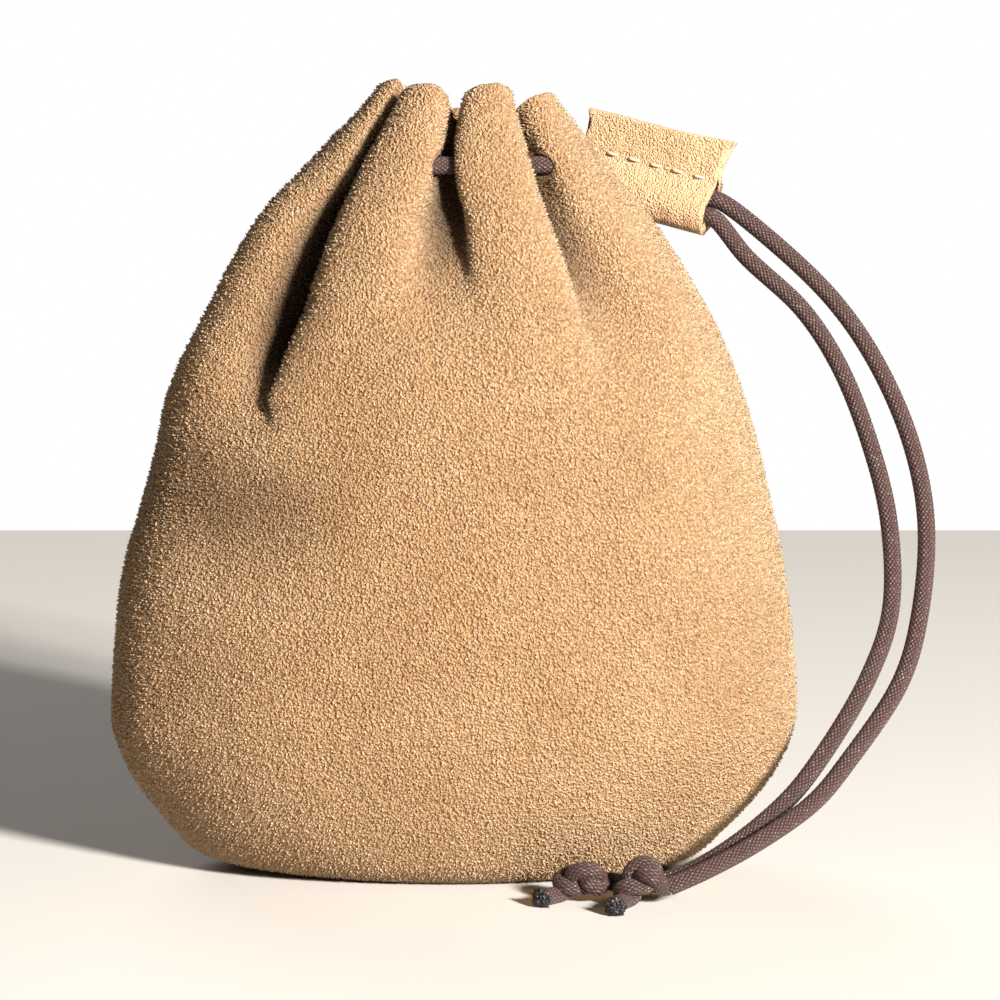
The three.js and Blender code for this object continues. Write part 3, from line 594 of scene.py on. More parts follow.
def panel_points(seam_a, seam_b):
    azimuth = np.linspace(seam_a, seam_b, COLUMNS)
    outer, depth = skin(azimuth, shares)
    across = np.gradient(outer, axis=1)
    along = np.gradient(outer, axis=0)
    normal = np.cross(across, along)
    normal[:BASE_ROWS - 1] = [0, 0, -1]
    normal /= np.linalg.norm(normal, axis=-1)[..., None] + 1e-9
    up = outer[..., 2] / BAG_HEIGHT
    body = ease((up - 0.02) / 0.10)
    uneven = 0.55 * noise_field(outer, 17, 1.3) + 0.24 * noise_field(outer, 6.5, 4.1) * (0.5 + 0.5 * ease((up - .5) / .2))
    uneven += 0.08 * noise_field(outer, 2.1, 7.7) + 0.07 * noise_field(outer, 0.7, 2.9)
    seam = np.minimum(np.arange(COLUMNS), np.arange(COLUMNS)[::-1])
    edge = np.linalg.norm(outer - np.where((np.arange(COLUMNS) < COLUMNS / 2)[None, :, None],
                                           outer[:, :1], outer[:, -1:]), axis=-1)
    crease = -0.55 * np.exp(-(edge / 0.8) ** 2) - 0.12 * np.exp(-(edge / 3.0) ** 2)
    x, z = outer[..., 0], outer[..., 2]
    dents = (0.9 * np.exp(-((x + 33) / 12) ** 2 - ((z - 70) / 8) ** 2)
             - 1.7 * np.exp(-((x + 28) / 11) ** 2 - ((z - 51) / 10) ** 2))
    uneven = uneven + dents * (outer[..., 1] < 0)
    calm = 1 - 0.75 * np.exp(-(edge / 1.5) ** 2)
    outer = outer + normal * ((uneven * body * calm) + crease * body)[..., None]
    outer[..., 2] = np.maximum(outer[..., 2], 0)
    picks = np.unique(np.round(np.linspace(0, 1, INNER_ROWS) ** 1.6 * (OUTER_ROWS - 1)).astype(int))
    inner_from = (OUTER_ROWS - 1 - picks)
    inner = (outer - normal * LEATHER)[inner_from]
    lift = np.array([0, 0, 1.0])
    top, n = outer[-1], normal[-1]
    rough = 0.16 * noise_field(top, 1.1, 5.0)[:, None] * lift
    rim = [top - n * LEATHER * 0.10 + lift * 0.16 + rough, top - n * LEATHER * 0.5 + lift * 0.24 + rough,
           top - n * LEATHER * 0.90 + lift * 0.14 + rough]
    points = np.concatenate([outer, np.array(rim), inner], axis=0)
    # painted shade: the crease attribute made here darkens the suede's colour by how deep a point lies in a fold, and
    # the inside of the wall by a fixed share
    painted_shade = np.concatenate([depth, np.repeat(depth[-1:], 3, axis=0) * 0, depth[inner_from] * 0 + 3], axis=0)
    # painted shade: a darker patch on the front's lower left, below the end of the deep pleat, stands in for the shade
    # that falls there
    painted_patch_shade = 0.48 * np.exp(-((points[..., 0] + 31) / 12) ** 2 - ((points[..., 2] - 54) / 7) ** 2) * (points[..., 1] < 0)
    return points, np.maximum(ease((painted_shade - 1.5) / 5.4), painted_patch_shade), normal


def make_panel(name, seam_a, seam_b):
    points, painted_shade, normal = panel_points(seam_a, seam_b)
    rows = len(points)
    gap = 0.06 * (1 if seam_a < 0 else -1)
    points[0, :, 1] -= gap
    bm = bmesh.new()
    layer = bm.verts.layers.float.new("crease")
    bmesh.ops.create_grid(bm, x_segments=COLUMNS - 1, y_segments=rows - 1, size=1)
    bm.verts.ensure_lookup_table()
    grid = [[None] * COLUMNS for _ in range(rows)]
    for v in bm.verts:
        k = int(round((v.co.x + 1) / 2 * (COLUMNS - 1)))
        r = int(round((v.co.y + 1) / 2 * (rows - 1)))
        grid[r][k] = v
    # painted shade: the crease attribute stores the painted shade of the folds, the inside and the lower left patch
    for r in range(rows):
        for k in range(COLUMNS):
            grid[r][k].co = points[r, k] * MM
            grid[r][k][layer] = painted_shade[r, k]
    bottom = [e for r in (0, rows - 1) for e in {bm.edges.get((grid[r][k], grid[r][k + 1]))
                                                 for k in range(COLUMNS - 1)}]
    bmesh.ops.bridge_loops(bm, edges=bottom)
    for k in (0, COLUMNS - 1):
        strips = [bm.edges.get((grid[r][k], grid[r + 1][k]))
                  for r in (*range(OUTER_ROWS - 1), *range(OUTER_ROWS + 3, rows - 1))]
        bmesh.ops.bridge_loops(bm, edges=strips)
        bmesh.ops.contextual_create(bm, geom=[grid[r][k] for r in range(OUTER_ROWS - 1, OUTER_ROWS + 4)])
    return bm, points[:OUTER_ROWS], normal, painted_shade[:OUTER_ROWS, :, None]


print("rows", OUTER_ROWS, "spacing about", round(150 / OUTER_ROWS, 2), "mm")


# %% [markdown]
# ## The punched holes
# The cord goes in and out through holes punched in the flanks of the folds. In the grid, the points that the
# cord would touch are taken out, and the points round each hole are drawn back onto a circle about the cord
# and smoothed a little.

# %% Punch the holes round the cord
HOLE = 1.52


def nearest_on(line, points):
    gap = points[:, None] - line[None]
    dist = np.linalg.norm(gap, axis=2)
    near = dist.argmin(axis=1)
    return line[near], dist[np.arange(len(points)), near]


def punch(bm, line):
    band = [v for v in bm.verts if abs(v.co.z / MM - LACE_HEIGHT) < 5]
    points = np.array([v.co for v in band]) / MM
    _, dist = nearest_on(line, points)
    doomed = [v for v, d in zip(band, dist) if d < HOLE]
    before = {e for e in bm.edges if e.is_boundary}
    bmesh.ops.delete(bm, geom=doomed, context="VERTS")
    rims = [e for e in bm.edges if e.is_boundary and e not in before]
    edge_verts = list({v for e in rims for v in e.verts})
    if edge_verts:
        points = np.array([v.co for v in edge_verts]) / MM
        centre, dist = nearest_on(line, points)
        snapped = centre + (points - centre) / dist[:, None] * HOLE
        for v, p in zip(edge_verts, snapped):
            v.co = p * MM
        bmesh.ops.smooth_vert(bm, verts=edge_verts, factor=0.25, use_axis_x=True, use_axis_y=True, use_axis_z=True)
    return len(doomed), len(rims)


panels, faces = {}, {}
for name, a, b in (("front_suede", -90, 90), ("back_suede", 90, 270)):
    bm, *faces[name] = make_panel(name, a, b)
    punched = punch(bm, loop_line)
    bmesh.ops.recalc_face_normals(bm, faces=bm.faces)
    panels[name] = finish_mesh(bm, name)
    print(name, "triangles", sum(len(p.vertices) - 2 for p in panels[name].data.polygons), "punched", punched)

# %% [markdown]
# ## The nap as real tufts
# Rough suede is a field of tiny curled tufts, and their shadows are what makes it look like suede when light
# comes from the side. A grid with one square for each tuft is taken apart into single squares, each square is
# poked to a small pyramid, and the pyramids are spread over the panel's face with a random turn, size and
# lean. Their bases are sunk in the leather.

# %% Sow the tufts
TUFT_ROWS, TUFT_COLUMNS = 222, 218
TUFT_HEIGHT, TUFT_LONG, TUFT_WIDE = 0.36, 0.24, 0.20


def on_grid(field, r, k):
    """values of a grid of vectors at fractional rows and columns"""
    r0 = np.clip(r.astype(int), 0, field.shape[0] - 2)
    k0 = np.clip(k.astype(int), 0, field.shape[1] - 2)
    a, b = (r - r0)[:, None], (k - k0)[:, None]
    return ((1 - a) * (1 - b) * field[r0, k0] + (1 - a) * b * field[r0, k0 + 1]
            + a * (1 - b) * field[r0 + 1, k0] + a * b * field[r0 + 1, k0 + 1])


def sow(name, face, normal, painted_shade, seed):
    random = np.random.default_rng(seed)
    bm = bmesh.new()
    layer = bm.verts.layers.float.new("crease")
    bmesh.ops.create_grid(bm, x_segments=TUFT_COLUMNS, y_segments=TUFT_ROWS, size=1)
    bmesh.ops.split_edges(bm, edges=bm.edges[:])
    squares = bm.faces[:]
    count = len(squares)
    middle = np.array([f.calc_center_median()[:2] for f in squares])
    corners = [f.verts[:] for f in squares]
    order = {(round(float(m[0]), 4), round(float(m[1]), 4)): i for i, m in enumerate(middle)}
    peaks = bmesh.ops.poke(bm, faces=squares)["verts"]
    peak_of = [order[(round(v.co.x, 4), round(v.co.y, 4))] for v in peaks]
    k = (middle[:, 0] + 1) / 2 * (face.shape[1] - 1) + random.uniform(-0.55, 0.55, count)
    r = (middle[:, 1] + 1) / 2 * (face.shape[0] - 1) + random.uniform(-0.55, 0.55, count)
    k, r = np.clip(k, 1.0, face.shape[1] - 2.0), np.clip(r, BASE_ROWS + 2, face.shape[0] - 1.2)
    at, out, deep = on_grid(face, r, k), on_grid(normal, r, k), on_grid(painted_shade, r, k)[:, 0]
    out /= np.linalg.norm(out, axis=1)[:, None]
    turn = random.uniform(0, 2 * np.pi, count)
    side = np.cross(out, [0.31, 0.17, 0.93])
    side /= np.linalg.norm(side, axis=1)[:, None]
    top = np.cross(out, side)
    long_way = side * np.cos(turn)[:, None] + top * np.sin(turn)[:, None]
    wide_way = np.cross(out, long_way)
    size = random.uniform(0.65, 1.25, count)[:, None]
    _, near_cord = nearest_on(loop_line[::4], at)
    size[near_cord < 2.3] *= 0.05
    peak = at + out * TUFT_HEIGHT * size + (side * random.normal(0, 0.09, (count, 1))
                                            + top * random.normal(0, 0.09, (count, 1))) * size
    peak[:, 2] = np.maximum(peak[:, 2], 0)
    signs = [(-1, -0.25), (0.1, -1), (1, 0.2), (-0.15, 1)]
    for j, (a, b) in enumerate(signs):
        foot = at - out * 0.10 + long_way * TUFT_LONG * a * size + wide_way * TUFT_WIDE * b * size
        foot[:, 2] = np.maximum(foot[:, 2], 0)
        for verts, q in zip(corners, foot):
            verts[j].co = q * MM
    # painted shade: each tuft carries the panel's crease value, so tufts deep in the folds are painted darker too
    for v, i in zip(peaks, peak_of):
        v.co = peak[i] * MM
        v[layer] = deep[i]
        for edge in v.link_edges:
            edge.other_vert(v)[layer] = deep[i]
    bmesh.ops.recalc_face_normals(bm, faces=bm.faces)
    return finish_mesh(bm, name)


nap_pieces = {name: sow(name.replace("suede", "nap"), *faces[name], seed=11 + i) for i, name in enumerate(faces)}
for piece in nap_pieces.values():
    print(piece.name, len(piece.data.polygons), "faces")

# %% [markdown]
# ## The slider
# A strip of the same suede is folded round both cords and sewn once, just above them, so the fold is a snug
# tunnel and the two raw edges stand up together. The strip's section is drawn once as a smooth line, given
# its thickness, and carried along the slider; the ends and edges stay raw and slightly uneven.

# %% The folded strip
def ribbon_section(stand):
    """outline of the folded strip as (through, height) points; stand splays the two raw edges"""
    up_c = TUNNEL_UP + SPLIT_UP / 2
    low_c = TUNNEL_UP - SPLIT_UP / 2
    r = CORD / 2 + CLEAR + STRIP / 2
    half = STRIP / 2 + 0.04
    t = SPLIT_THROUGH / 2
    top = SLIDER_HEIGHT / 2
    way = [(half + stand, top, 0), (half + 0.25 * stand, top * 0.62, 0), (half, top * 0.32, 0), (half + 0.05, 1.1, 0),
           (half + 0.75, -0.6, 0), (t + r * 0.93, low_c + r * 0.55, 0), (t + r, low_c, 0),
           (t + r * 0.71, low_c - r * 0.71, 0), (t, low_c - r, 0), (t - r * 0.75, low_c - r * 0.62, 0),
           (-t - r * 0.9, up_c - r * 0.75, 0), (-t - r, up_c - r * 0.1, 0), (-t - r * 0.80, up_c + r * 0.55, 0),
           (-half - 0.25, 1.2, 0), (-half, top * 0.32, 0), (-half - 0.2 * stand, top * 0.62, 0),
           (-half - 0.8 * stand, top - 0.15, 0)]
    line = smooth_line(way, 0.35)[:, :2]
    tangent = np.gradient(line, axis=0)
    tangent /= np.linalg.norm(tangent, axis=1)[:, None]
    side = np.stack([tangent[:, 1], -tangent[:, 0]], axis=1)
    outer, inner = line - side * STRIP / 2, line + side * STRIP / 2
    cap_a = (outer[0] + inner[0]) / 2 - tangent[0] * 0.12
    cap_b = (outer[-1] + inner[-1]) / 2 + tangent[-1] * 0.12
    return np.concatenate([outer, [cap_b], inner[::-1], [cap_a]])


def make_slider():
    steps = 64
    shape = ribbon_section(0.35)
    ring = len(shape)
    bm = bmesh.new()
    bmesh.ops.create_grid(bm, x_segments=ring, y_segments=steps, size=1)
    grid = [[None] * (ring + 1) for _ in range(steps + 1)]
    for v in bm.verts:
        grid[int(round((v.co.y + 1) / 2 * steps))][int(round((v.co.x + 1) / 2 * ring))] = v
    for i in range(steps + 1):
        s = i / steps
        shape = ribbon_section(0.10 + 0.16 * abs(math.sin(2.3 * s + 0.4)))
        for k in range(ring + 1):
            through, up = shape[k % ring]
            ends = 0.25 * math.sin(up * 0.9 + 1.0) + 0.18 * math.sin(up * 2.2)
            at = -SLIDER_LENGTH / 2 + s * SLIDER_LENGTH + ends * (1 if s > 0.5 else -1) * abs(2 * s - 1) ** 3
            above = float(ease((up - 1.0) / 5.5))
            bow = 0.25 * above * math.sin(math.pi * s)
            pulled = -0.16 * math.exp(-((up - 0.75) / 0.7) ** 2) * (1 if through > 0 else -1)
            rim = above * (0.18 * math.sin(5 * s + 0.7) + 0.7 * s * s)
            at += 0.9 * above * s ** 4
            p = SLIDER_AT + ALONG * at + HEIGHT * (up + rim) + THROUGH * (through + bow + pulled)
            q = p + Vector((0, 0, 0))
            n = 0.13 * noise.noise(q / 2.2) + 0.07 * noise.noise(q / 0.8)
            grid[i][k].co = (p + THROUGH * n * (1 if through > 0 else -1)) * MM
    bmesh.ops.remove_doubles(bm, verts=bm.verts, dist=1e-7)
    ends = [e for e in bm.edges if e.is_boundary]
    bmesh.ops.holes_fill(bm, edges=ends, sides=0)
    bmesh.ops.recalc_face_normals(bm, faces=bm.faces)
    return finish_mesh(bm, "slider_suede")


slider_piece = make_slider()
print("slider faces", len(slider_piece.data.polygons))

# %% [markdown]
# ## The stitch row
# One row of pale waxed thread closes the slider. Each stitch is a short thick thread that rises from its
# needle hole, lies on the suede and dives back in, a little slanted. Every stitch is the same small tube,
# with its ends sunk in the leather; the thread on the back lies in the gaps of the front.

# %% Thread stitches
STITCH_LONG, STITCH_PITCH, THREAD = 1.9, 3.4, 0.34


def stitch(bm, centre, along, out, up, slant):
    """one stitch as a bent tube with pointed, sunken ends"""
    turn = (along * math.cos(slant) + up * math.sin(slant)).normalized()
    across = turn.cross(out)
    ring = bmesh.ops.create_circle(bm, segments=8, radius=1)["verts"]
    rings, edges = [ring], list({e for v in ring for e in v.link_edges})
    for _ in range(10):
        made = set(bmesh.ops.extrude_edge_only(bm, edges=edges)["geom"])
        new = [g for g in made if isinstance(g, bmesh.types.BMVert)]
        edges = [g for g in made if isinstance(g, bmesh.types.BMEdge) and all(v in made for v in g.verts)]
        near = {tuple(round(c, 5) for c in v.co): v for v in new}
        rings.append([near[tuple(round(c, 5) for c in v.co)] for v in rings[-1]])
    for k, row in enumerate(rings):
        s = k / 10 * 2 - 1
        height = 0.12 - 0.60 * abs(s) ** 3
        radius = THREAD / 2 * (1 - 0.35 * abs(s) ** 4)
        for j, v in enumerate(row):
            a = 2 * math.pi * j / 8
            v.co = (centre + turn * (s * STITCH_LONG / 2) + out * (height + radius * math.sin(a))
                    + across * radius * 1.15 * math.cos(a)) * MM
    for row in (rings[0], rings[-1]):
        bmesh.ops.contextual_create(bm, geom=row)


bm = bmesh.new()
STITCH_ROW = 1.4
for side in (1, -1):
    for k in range(6):
        s = -SLIDER_LENGTH / 2 + 1.2 + k * STITCH_PITCH + (0 if side > 0 else STITCH_PITCH / 2)
        share = s / SLIDER_LENGTH + 0.5
        face = (STRIP + 0.22) * side
        centre = SLIDER_AT + ALONG * s + HEIGHT * STITCH_ROW + THROUGH * face
        stitch(bm, centre, ALONG, THROUGH * side, HEIGHT, math.radians(4 * math.sin(3 * k)))
bmesh.ops.recalc_face_normals(bm, faces=bm.faces)
stitch_piece = finish_mesh(bm, "slider_stitches")
print("stitches", len(stitch_piece.data.polygons), "faces")

# %% [markdown]
# ## Suede
# This suede is the rough flesh side of the hide: a dense, curly nap of fibre clumps about half a millimetre
# across, under broad cloudy lighter and darker areas. The hollows between the clumps are coloured darker than
# the tips: partly the nap's own tone, partly painted shade. The node group gives a height and two masks, and
# each suede mixes its own colours from them; the crease attribute then darkens them as painted shade in the
# deep folds, inside the pouch and on the lower left. The nap also catches light along the edges, which the
# shader's sheen gives.

# %% The nap as a node group
def node(tree, kind, at=(0, 0), **values):
    made = tree.nodes.new(kind)
    made.location = at
    for key, value in values.items():
        if hasattr(made, key):
            setattr(made, key, value)
        else:
            made.inputs[key.replace("_", " ")].default_value = value
    return made


def math_node(tree, operation, a, b=0.0, clamp=False):
    made = tree.nodes.new("ShaderNodeMath")
    made.operation, made.use_clamp = operation, clamp
    for socket, value in zip(made.inputs, (a, b)):
        if isinstance(value, (int, float)):
            socket.default_value = value
        else:
            tree.links.new(value, socket)
    return made.outputs[0]


def noise_node(tree, vector, scale, detail=3.0, rough=0.6, distortion=0.0):
    made = tree.nodes.new("ShaderNodeTexNoise")
    for key, value in (("Scale", scale), ("Detail", detail), ("Roughness", rough), ("Distortion", distortion)):
        made.inputs[key].default_value = value
    tree.links.new(vector, made.inputs["Vector"])
    return made.outputs["Fac"]


def remap(tree, value, low, high, to_low=0.0, to_high=1.0):
    made = tree.nodes.new("ShaderNodeMapRange")
    for key, number in (("From Min", low), ("From Max", high), ("To Min", to_low), ("To Max", to_high)):
        made.inputs[key].default_value = number
    tree.links.new(value, made.inputs["Value"])
    return made.outputs["Result"]


def new_group(name, inputs, outputs):
    group = bpy.data.node_groups.new(name, "ShaderNodeTree")
    for label, kind, value in inputs:
        socket = group.interface.new_socket(label, in_out="INPUT", socket_type=kind)
        if value is not None:
            socket.default_value = value
    for label, kind in outputs:
        group.interface.new_socket(label, in_out="OUTPUT", socket_type=kind)
    return group, group.nodes.new("NodeGroupInput"), group.nodes.new("NodeGroupOutput")


def nap_group():
    group, get, put = new_group(
        "suede_nap", [("Position", "NodeSocketVector", None), ("Clump", "NodeSocketFloat", 2600.0)],
        [("Height", "NodeSocketFloat"), ("Tips", "NodeSocketFloat"), ("Clouds", "NodeSocketFloat")])
    where = get.outputs["Position"]
    sway = group.nodes.new("ShaderNodeTexNoise")
    sway.inputs["Scale"].default_value = 3200
    sway.inputs["Detail"].default_value = 1
    group.links.new(where, sway.inputs["Vector"])
    shift = group.nodes.new("ShaderNodeVectorMath")
    shift.operation = "MULTIPLY_ADD"
    group.links.new(sway.outputs["Color"], shift.inputs[0])
    shift.inputs[1].default_value = (0.0003, 0.0003, 0.0003)
    group.links.new(where, shift.inputs[2])
    clumps = group.nodes.new("ShaderNodeTexVoronoi")
    clumps.feature = "SMOOTH_F1"
    clumps.inputs["Smoothness"].default_value = 0.5
    group.links.new(shift.outputs[0], clumps.inputs["Vector"])
    group.links.new(get.outputs["Clump"], clumps.inputs["Scale"])
    round_clump = math_node(group, "SUBTRACT", 1.0, clumps.outputs["Distance"])
    fine = noise_node(group, where, 6000, 2.0, 0.6, 0.4)
    lumps = noise_node(group, where, 1150, 2.0, 0.55, 0.3)
    height = math_node(group, "ADD", round_clump, math_node(group, "MULTIPLY", fine, 0.45))
    height = math_node(group, "ADD", height, math_node(group, "MULTIPLY", lumps, 0.35))
    # painted shade: Tips is low in the hollows between the clumps, where the colour is mixed darker; partly the nap's
    # own tone, partly painted shade
    tips = remap(group, math_node(group, "ADD", math_node(group, "MULTIPLY", round_clump, 0.6),
                                  math_node(group, "MULTIPLY", fine, 0.4)), 0.38, 0.72)
    clouds = noise_node(group, where, 62, 3.0, 0.55, 0.5)
    group.links.new(height, put.inputs["Height"])
    group.links.new(tips, put.inputs["Tips"])
    group.links.new(remap(group, clouds, 0.3, 0.7), put.inputs["Clouds"])
    return group


NAP = nap_group()
print("group", NAP.name, [s.name for s in NAP.interface.items_tree])


# %% The suede of the panels and the slider
def mix_colour(tree, factor, a, b):
    made = tree.nodes.new("ShaderNodeMix")
    made.data_type = "RGBA"
    tree.links.new(factor, made.inputs["Factor"])
    for socket, value in ((made.inputs[6], a), (made.inputs[7], b)):
        if isinstance(value, tuple):
            socket.default_value = (*value, 1)
        else:
            tree.links.new(value, socket)
    return made.outputs[2]


def suede(name, pit_tone_and_shade, tip, cloud_dark, cloud_light, depth=0.0009, clump=2500):
    material = bpy.data.materials.new(name)
    material.use_nodes = True
    tree = material.node_tree
    shader = tree.nodes["Principled BSDF"]
    place = tree.nodes.new("ShaderNodeTexCoord")
    nap = tree.nodes.new("ShaderNodeGroup")
    nap.node_tree = NAP
    tree.links.new(place.outputs["Object"], nap.inputs["Position"])
    nap.inputs["Clump"].default_value = clump
    # painted shade: the darker colour goes into the hollows between the clumps, partly the nap's own tone and partly
    # painted shade
    colour = mix_colour(tree, nap.outputs["Tips"], pit_tone_and_shade, tip)
    tint = mix_colour(tree, nap.outputs["Clouds"], cloud_dark, cloud_light)
    both = tree.nodes.new("ShaderNodeMix")
    both.data_type, both.blend_type = "RGBA", "MULTIPLY"
    both.inputs["Factor"].default_value = 1.0
    tree.links.new(colour, both.inputs[6])
    tree.links.new(tint, both.inputs[7])
    # painted shade: the crease attribute multiplies the colour towards dark brown in the deep folds, inside the pouch
    # and in a patch on the lower left
    deep = tree.nodes.new("ShaderNodeAttribute")
    deep.attribute_name = "crease"
    shade = tree.nodes.new("ShaderNodeMix")
    shade.data_type, shade.blend_type = "RGBA", "MULTIPLY"
    tree.links.new(deep.outputs["Fac"], shade.inputs["Factor"])
    tree.links.new(both.outputs[2], shade.inputs[6])
    shade.inputs[7].default_value = (0.10, 0.070, 0.05, 1)
    tree.links.new(shade.outputs[2], shader.inputs["Base Color"])
    bump = tree.nodes.new("ShaderNodeBump")
    bump.inputs["Strength"].default_value = 1.0
    bump.inputs["Distance"].default_value = depth
    tree.links.new(nap.outputs["Height"], bump.inputs["Height"])
    tree.links.new(bump.outputs["Normal"], shader.inputs["Normal"])
    shader.inputs["Roughness"].default_value = 1.0
    shader.inputs["Specular IOR Level"].default_value = 0.1
    shader.inputs["Sheen Weight"].default_value = 0.12
    shader.inputs["Sheen Roughness"].default_value = 0.45
    shader.inputs["Sheen Tint"].default_value = (1.0, 0.86, 0.66, 1)
    return material


tan_suede = suede("tan_suede", (0.57, 0.365, 0.20), (0.88, 0.645, 0.430), (0.88, 0.83, 0.77), (1.03, 1.03, 1.03),
                  depth=0.0010, clump=2700)
# painted shade: the panels under the tufts take a darker copy of the tan suede, standing in for the shade between the
# tufts
shaded_under_suede = suede("shaded_under_suede", (0.33, 0.175, 0.08), (0.64, 0.41, 0.22), (0.88, 0.83, 0.77), (1.03, 1.03, 1.03),
                    depth=0.0010, clump=2700)
slider_suede = suede("slider_suede", (0.58, 0.355, 0.195), (0.83, 0.535, 0.325), (0.92, 0.88, 0.83), (1.02, 1.02, 1.02),
                     depth=0.0004, clump=3600)
for piece in panels.values():
    piece.data.materials.append(shaded_under_suede)
for piece in nap_pieces.values():
    piece.data.materials.append(tan_suede)
slider_piece.data.materials.append(slider_suede)
print("suede on", len(panels) + 1, "pieces")

# %% [markdown]
# ## Waxed cord
# The cord is dark brown cotton with a purplish cast, and the wax fills the valleys of the braid. Short
# slanted whitish flecks on some crests of the braid are painted highlights, standing in for the wax's glints. The
# braid's pattern comes from the cord's own UV map: a turn round it and a length along it.

# %% The cord's finish
def waxed_cord():
    material = bpy.data.materials.new("waxed_cord")
    material.use_nodes = True
    tree = material.node_tree
    shader = tree.nodes["Principled BSDF"]
    uv = tree.nodes.new("ShaderNodeUVMap")
    uv.uv_map = "cord"
    split = tree.nodes.new("ShaderNodeSeparateXYZ")
    tree.links.new(uv.outputs["UV"], split.inputs[0])
    turn = math_node(tree, "MULTIPLY", split.outputs["X"], float(STRANDS))
    run = math_node(tree, "MULTIPLY", split.outputs["Y"], STRANDS / LAY)
    a = math_node(tree, "ADD", turn, run)
    b = math_node(tree, "SUBTRACT", turn, run)
    odd = math_node(tree, "FLOORED_MODULO", math_node(tree, "ADD", math_node(tree, "FLOOR", a),
                                                      math_node(tree, "FLOOR", b)), 2.0)
    crest_a = math_node(tree, "ABSOLUTE", math_node(tree, "SINE", math_node(tree, "MULTIPLY", a, math.pi)))
    crest_b = math_node(tree, "ABSOLUTE", math_node(tree, "SINE", math_node(tree, "MULTIPLY", b, math.pi)))
    mix = tree.nodes.new("ShaderNodeMix")
    tree.links.new(odd, mix.inputs[0])
    tree.links.new(math_node(tree, "MULTIPLY", crest_a, math_node(tree, "ADD", 0.5, math_node(tree, "MULTIPLY", crest_b, 0.5))),
                   mix.inputs[2])
    tree.links.new(math_node(tree, "MULTIPLY", crest_b, math_node(tree, "ADD", 0.5, math_node(tree, "MULTIPLY", crest_a, 0.5))),
                   mix.inputs[3])
    braid = mix.outputs[0]
    place = tree.nodes.new("ShaderNodeTexCoord").outputs["Object"]
    fibre = noise_node(tree, place, 5200, 2.0, 0.6)
    patch = noise_node(tree, place, 900, 2.0, 0.5, 0.4)
    # painted highlight: pale flecks on some braid crests, standing in for glints of the wax
    painted_glint = math_node(tree, "MULTIPLY", remap(tree, braid, 0.72, 1.0), remap(tree, patch, 0.58, 0.68))
    painted_glint = math_node(tree, "MULTIPLY", painted_glint, remap(tree, fibre, 0.35, 0.6))
    base = mix_colour(tree, braid, (0.034, 0.0155, 0.0125), (0.066, 0.031, 0.025))
    colour = mix_colour(tree, painted_glint, base, (0.36, 0.29, 0.28))
    tree.links.new(colour, shader.inputs["Base Color"])
    height = math_node(tree, "ADD", braid, math_node(tree, "MULTIPLY", fibre, 0.35))
    bump = tree.nodes.new("ShaderNodeBump")
    bump.inputs["Strength"].default_value = 0.9
    bump.inputs["Distance"].default_value = 0.00017
    tree.links.new(height, bump.inputs["Height"])
    tree.links.new(bump.outputs["Normal"], shader.inputs["Normal"])
    tree.links.new(remap(tree, patch, 0.3, 0.7, 0.34, 0.60), shader.inputs["Roughness"])
    shader.inputs["Specular IOR Level"].default_value = 0.42
    shader.inputs["Sheen Weight"].default_value = 0.08
    shader.inputs["Sheen Tint"].default_value = (0.85, 0.75, 0.75, 1)
    return material


cord_finish = waxed_cord()
for piece in (loop_piece, *tail_pieces.values(), *knot_pieces.values()):
    piece.data.materials.append(cord_finish)


# %% Thread and singed tips
def simple_finish(name, dark, light, scale, rough, bump_distance, specular=0.5):
    material = bpy.data.materials.new(name)
    material.use_nodes = True
    tree = material.node_tree
    shader = tree.nodes["Principled BSDF"]
    place = tree.nodes.new("ShaderNodeTexCoord").outputs["Object"]
    grain = noise_node(tree, place, scale, 3.0, 0.6, 0.5)
    tree.links.new(mix_colour(tree, remap(tree, grain, 0.35, 0.65), dark, light), shader.inputs["Base Color"])
    bump = tree.nodes.new("ShaderNodeBump")
    bump.inputs["Distance"].default_value = bump_distance
    tree.links.new(grain, bump.inputs["Height"])
    tree.links.new(bump.outputs["Normal"], shader.inputs["Normal"])
    tree.links.new(remap(tree, grain, 0.3, 0.7, rough - 0.1, rough + 0.1), shader.inputs["Roughness"])
    shader.inputs["Specular IOR Level"].default_value = specular
    return material


thread = simple_finish("pale_thread", (0.58, 0.44, 0.29), (0.82, 0.68, 0.50), 3800, 0.7, 0.00008)
singed = simple_finish("singed_tip", (0.003, 0.0026, 0.0026), (0.012, 0.010, 0.0095), 1400, 0.42, 0.00012)
stitch_piece.data.materials.append(thread)
for piece in beads.values():
    piece.data.materials.append(singed)
print("finishes", [m.name for m in bpy.data.materials])

# %% [markdown]
# ## What moves with what
# Nothing turns or slides here, so every piece rides on the one body. Each fine piece stands for the plain
# solid under it, and the plain solids are switched off.

# %% Ride and replace
everything = [*panels.values(), *nap_pieces.values(), slider_piece, stitch_piece, loop_piece, *tail_pieces.values(), *knot_pieces.values(),
              *beads.values()]
for piece in everything:
    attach(piece, "root")
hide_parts("front_panel")
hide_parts("back_panel")
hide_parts("cord_slider")
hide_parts("drawstring_mouth")
for which in KNOTS:
    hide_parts("tail_" + which)
    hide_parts("knot_" + which)
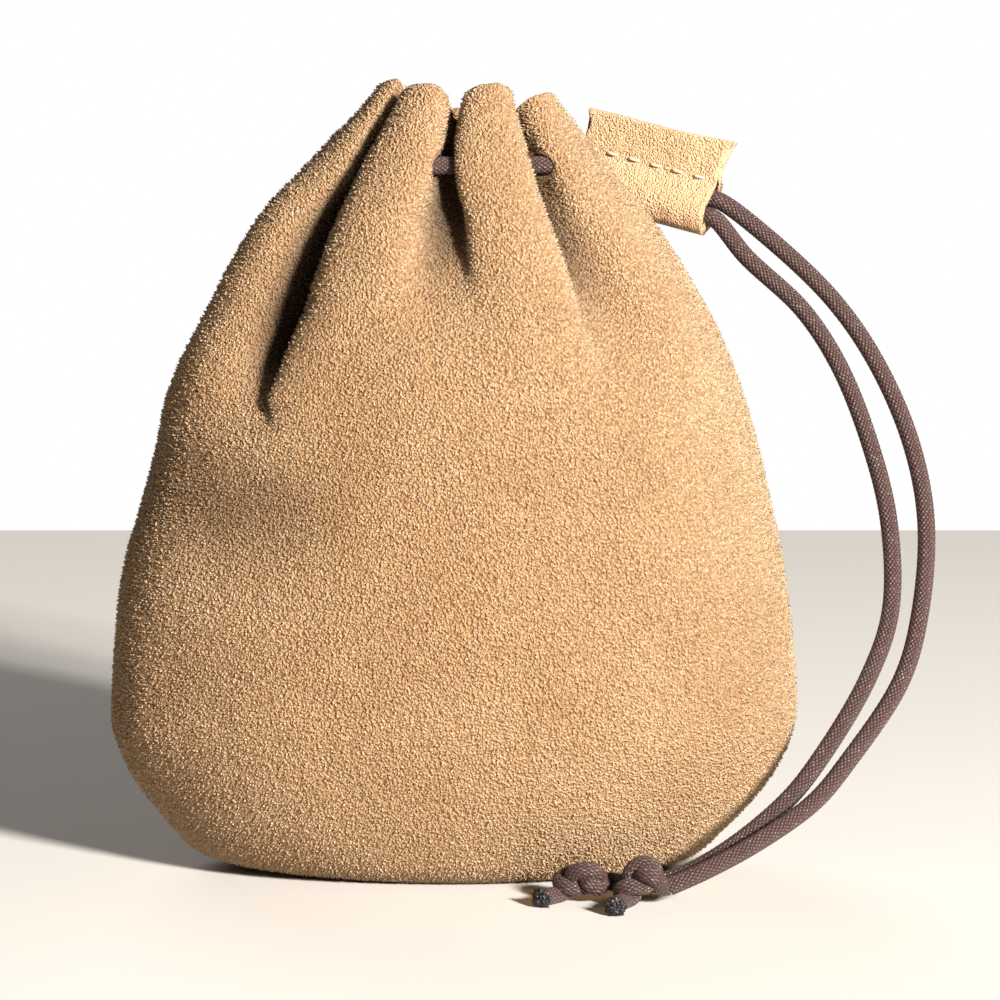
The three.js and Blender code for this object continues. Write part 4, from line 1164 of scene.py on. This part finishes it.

# %% [markdown]
# ## Table, background and light
# The pouch stands on a plain pale table whose far edge shows behind it, before a white wall of light. The
# main light is a fairly small soft box high on the right, a little in front, so the folds on the left fall
# into shade and the nap shows at a grazing angle; a broad weak fill keeps the shadows open.

# %% The table
def slab(name, corners):
    bm = bmesh.new()
    bmesh.ops.create_grid(bm, x_segments=1, y_segments=1, size=1)
    for v in bm.verts:
        a, b = (v.co.x + 1) / 2, (v.co.y + 1) / 2
        low, high = corners
        v.co = Vector((low[0] + a * (high[0] - low[0]), low[1] + b * (high[1] - low[1]),
                       low[2] + b * (high[2] - low[2])))
    return finish_mesh(bm, name, smooth=False)


table = slab("table", ((-3.0, -1.6, 0.0), (3.0, 0.372, 0.0)))


def plain(name, colour, rough):
    material = bpy.data.materials.new(name)
    material.use_nodes = True
    shader = material.node_tree.nodes["Principled BSDF"]
    place = material.node_tree.nodes.new("ShaderNodeTexCoord").outputs["Object"]
    faint = noise_node(material.node_tree, place, 14, 2.0, 0.5)
    tone = mix_colour(material.node_tree, faint, tuple(c * 0.985 for c in colour), colour)
    material.node_tree.links.new(tone, shader.inputs["Base Color"])
    shader.inputs["Roughness"].default_value = rough
    return material


table.data.materials.append(plain("pale_table", (0.66, 0.62, 0.57), 0.9))


# %% Lights
def soft_box(name, at, target, size, power, colour=(1, 1, 1)):
    data = bpy.data.lights.new(name, "AREA")
    data.shape, data.size, data.energy, data.color = "DISK", size, power, colour
    light = bpy.data.objects.new(name, data)
    bpy.context.collection.objects.link(light)
    light.location = at
    light.rotation_euler = (Vector(target) - Vector(at)).to_track_quat("-Z", "Y").to_euler()
    return light


soft_box("key", (0.70, -0.96, 0.50), (0, 0, 0.05), 0.18, 54.0, (1.0, 0.985, 0.955))
soft_box("fill", (-0.5, -1.2, 0.75), (0, 0, 0.05), 1.0, 0.3, (0.97, 0.98, 1.0))
soft_box("behind", (-0.55, 1.15, 0.75), (0, 0, 0.05), 1.0, 8.0, (1.0, 0.99, 0.97))
world = bpy.data.worlds.new("studio")
world.use_nodes = True
air = world.node_tree.nodes["Background"]
air.inputs["Color"].default_value = (1, 1, 1, 1)
seen = world.node_tree.nodes.new("ShaderNodeLightPath")
world.node_tree.links.new(remap(world.node_tree, seen.outputs["Is Camera Ray"], 0, 1, 0.05, 1.0), air.inputs["Strength"])
bpy.context.scene.world = world
bpy.context.scene.view_settings.view_transform = "Standard"
